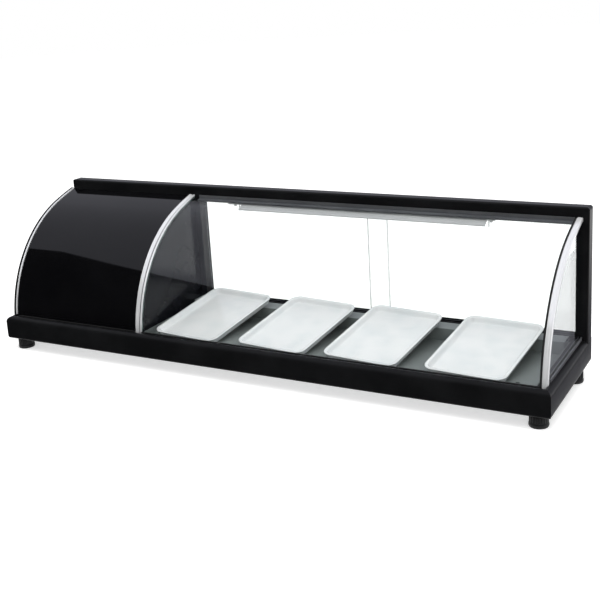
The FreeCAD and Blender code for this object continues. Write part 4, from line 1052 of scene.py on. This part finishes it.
@dataclass
class ColdDeck:
    """Floor tray, shelf, insulation and cooling tube."""

    palette: Palette

    def build(self) -> None:
        """Dresses the deck."""
        dress_nodes(self.palette.inner_sheet, "floor_tray", "rear_plate_shelf")
        dress_nodes(self.palette.foam, "foam_insulation")
        dress_nodes(self.palette.copper, "evaporator_tube")


@dataclass
class Lamp:
    """Slanting shade with its tube and brackets."""

    palette: Palette

    def build(self) -> None:
        """Dresses the lamp."""
        dress_nodes(self.palette.shade_metal, "lamp_shade", "lamp_brackets")
        dress_nodes(self.palette.tube, "lamp_tube")


@dataclass
class MachineBay:
    """Refrigeration set and the service panel behind it."""

    palette: Palette

    def build(self) -> None:
        """Dresses the machine compartment."""
        dress_nodes(self.palette.enamel, "compressor_shell", "fan_motor")
        dress_nodes(self.palette.rubber, "compressor_mounts")
        dress_nodes(self.palette.moulded, "terminal_box", "fan_shroud", "fan_blades", "thermostat",
                    "switch_frame", "lamp_switch_rocker", "cable_gland")
        dress_nodes(self.palette.fins, "condenser_fins")
        dress_nodes(self.palette.copper, "condenser_tube", "refrigerant_pipes", "filter_drier")
        dress_nodes(self.palette.satin_black, "rear_service_panel")
        dress_nodes(self.palette.galvanised, "panel_cleats")
        dress_nodes(self.palette.zinc, "panel_screws")
        dress_nodes(self.palette.knob, "thermostat_knob")


# ------------------------------------------------------------------------------- studio
@dataclass
class Studio:
    """Pale floor, white backdrop, two softboxes, cards that only reflections find, and the camera.

    The eye is in millimetres and the camera's angles are in radians. The focal length and the rise
    of the lens axis are in the unit in which the frame is as wide as frame_width says.
    """

    eye: tuple[float, float, float] = (938.964, -1586.241, 710.726)
    yaw: float = 0.505645
    pitch: float = 0.25556
    roll: float = -0.059605
    focal: float = 1044.28
    frame_width: float = 600.0
    axis_rise: float = 60.0
    sensor: float = 36.0
    base_light: float = 0.92
    floor_lift: float = 0.49
    skim: float = 0.005

    def camera(self) -> None:
        """Camera from the eye's place and its yaw, pitch and roll."""
        cy, sy, cp, sp = math.cos(self.yaw), math.sin(self.yaw), math.cos(self.pitch), math.sin(self.pitch)
        ahead = Vector((-sy * cp, cy * cp, -sp))
        right = Vector((cy, sy, 0.0))
        up = right.cross(ahead)
        cr, sr = math.cos(self.roll), math.sin(self.roll)
        right, up = right * cr + up * sr, up * cr - right * sr
        lens = bpy.data.cameras.new("camera")
        lens.sensor_width = self.sensor
        lens.lens = self.focal / self.frame_width * self.sensor
        lens.shift_y = -self.axis_rise / self.frame_width
        lens.clip_start, lens.clip_end = 0.05, 60.0
        camera = bpy.data.objects.new("camera", lens)
        basis = Matrix((right, up, -ahead)).transposed().to_4x4()
        camera.matrix_world = Matrix.Translation(Vector(self.eye) * MM) @ basis
        bpy.context.scene.collection.objects.link(camera)
        bpy.context.scene.camera = camera

    def seen(self, graph: Graph) -> Link:
        """One for rays that should find the plain white backdrop, otherwise zero.

        Args:
            graph: The graph that asks.

        Returns:
            The value, which is one for camera, glossy and transmission rays.
        """
        camera, glossy, transmission = (
            graph.add("ShaderNodeLightPath", out="Is %s Ray" % kind)
            for kind in ("Camera", "Glossy", "Transmission"))
        return (camera + glossy + transmission).lowest(1.0)

    def world(self) -> None:
        """A world that is plain white to look at and a little weaker as a light."""
        world = bpy.data.worlds.new("soft studio")
        world.use_nodes = True
        graph = Graph(world.node_tree)
        strength = self.seen(graph) * (1.0 - self.base_light) + self.base_light
        sky = graph.add("ShaderNodeBackground", None, {"Color": (1.0, 1.0, 1.0, 1.0), "Strength": strength})
        graph.output(sky, "ShaderNodeOutputWorld")
        bpy.context.scene.world = world

    def floor(self) -> None:
        """A wide pale floor that keeps the shadow and otherwise looks about as white as the backdrop."""
        radius = np.array([[0.001], [1.2], [4.0], [9.0]])
        angle = full_turn(96)[None, :]
        x, y = radius * np.cos(angle), radius * np.sin(angle)
        points = np.stack([x, y, np.zeros(x.shape)], axis=-1)
        floor = surface("floor", points, close_columns=True)
        material, graph = new_material("pale floor")
        mottle = graph.noise(graph.place(), 3.0, 2.0, 0.5)
        base = graph.mix(mottle, (0.80, 0.80, 0.80), (0.83, 0.83, 0.83))
        matt = graph.add("ShaderNodeBsdfDiffuse", None, {"Color": base})
        lift = graph.add("ShaderNodeEmission", None, {"Strength": self.seen(graph) * self.floor_lift})
        graph.output(graph.add("ShaderNodeAddShader", None, {0: matt, 1: lift}))
        dress(floor, material)

    def card(self, name: str, path: Array, half: float, turn_deg: float, shade: float,
             rises: tuple[float, float] = (0.0, 0.0)) -> None:
        """A studio card that only reflections find.

        Args:
            name: Name of the card.
            path: Points (distance, height) away from the case, carried sideways.
            half: Half of its width.
            turn_deg: Turn about +Z; at 0 the card goes away from the case towards -Y.
            shade: How bright it looks, 0 for black.
            rises: How much its start and its end climb for each metre beyond two metres to the left.
        """
        path = smooth_through(path, 8)
        away, height = path[:, None, 0], path[:, None, 1]
        aside = np.linspace(-half, half, 12)[None, :]
        turn = math.radians(turn_deg)
        x = aside * math.cos(turn) + away * math.sin(turn)
        y = aside * math.sin(turn) - away * math.cos(turn)
        rise = np.linspace(rises[0], rises[1], len(path))[:, None] * np.clip(-2.0 - aside, 0.0, 2.5)
        card = surface(name, np.stack([x, y, height + rise], axis=-1))
        material, graph = new_material(name)
        graph.output(graph.add("ShaderNodeEmission", None,
                               {"Color": (0.93, 0.94, 1.06, 1.0), "Strength": shade}))
        dress(card, material)
        for ray in ("camera", "diffuse", "transmission", "shadow", "volume_scatter"):
            setattr(card, "visible_" + ray, False)

    def cards(self) -> None:
        """A black card in front, grey ones above and behind, and strips on the floor right and behind."""
        low = self.skim
        front = np.array([[0.134, low], [0.5, low], [0.9, low], [1.2, 0.008], [1.6, 0.025], [2.05, 0.12],
                          [2.4, 0.7], [2.4, 1.35], [2.4, 2.0]])
        silk = np.array([[2.42, 2.0], [2.2, 2.7], [1.2, 3.2], [-0.6, 3.3], [-2.0, 2.9], [-2.6, 2.0]])
        behind = np.array([[2.6, 0.05], [2.6, 0.9], [2.6, 1.4], [2.6, 2.0]])
        right = np.array([[0.56, low], [0.62, low], [0.68, low], [0.74, low]])
        below = np.array([[0.14, low], [0.23, low], [0.32, low], [0.42, low]])
        self.card("front_card", front, 7.0, 0.0, 0.003, (0.0, 0.9))
        self.card("silk_card", silk, 7.0, 0.0, 0.5, (0.9, 0.0))
        self.card("rear_card", behind, 7.0, 180.0, 0.5)
        self.card("right_card", right, 1.9, 90.0, 0.22)
        self.card("rear_floor_card", below, 0.55, 180.0, 0.03)

    def lamp(self, name: str, place: tuple[float, float, float], aim: tuple[float, float, float],
             size: tuple[float, float], watts: float, glossy: bool) -> None:
        """A rectangular softbox.

        Args:
            name: Name of the lamp.
            place: Its middle.
            aim: The point that it faces.
            size: Its two sides.
            watts: Its power.
            glossy: Whether reflections show it.
        """
        light = bpy.data.lights.new(name, "AREA")
        light.shape, light.size, light.size_y, light.energy = "RECTANGLE", size[0], size[1], watts
        lamp = bpy.data.objects.new(name, light)
        lamp.location = place
        lamp.rotation_euler = (Vector(aim) - Vector(place)).to_track_quat("-Z", "Y").to_euler()
        lamp.visible_glossy = glossy
        bpy.context.scene.collection.objects.link(lamp)

    def build(self) -> None:
        """Sets the whole studio up."""
        self.camera()
        self.world()
        self.floor()
        self.cards()
        self.lamp("overhead", (0.1, -0.25, 2.1), (0, 0, 0.1), (2.6, 1.6), 27.0, False)
        self.lamp("front_fill", (1.4, -2.2, 1.3), (0, 0, 0.1), (1.2, 1.2), 9.0, False)
        bpy.context.scene.view_settings.view_transform = "Standard"


def main() -> None:
    """Builds the looks sub-assembly by sub-assembly."""
    logging.basicConfig(level=logging.INFO, format="%(name)s: %(message)s")
    Studio().build()
    palette = Palette()
    for part in (Base(palette), RearFrame(palette), FrontShell(palette), ColdDeck(palette), Plates(palette),
                 Lamp(palette), MachineBay(palette)):
        part.build()
        log.info("built %s", type(part).__name__)


if __name__ == "__main__":
    main()
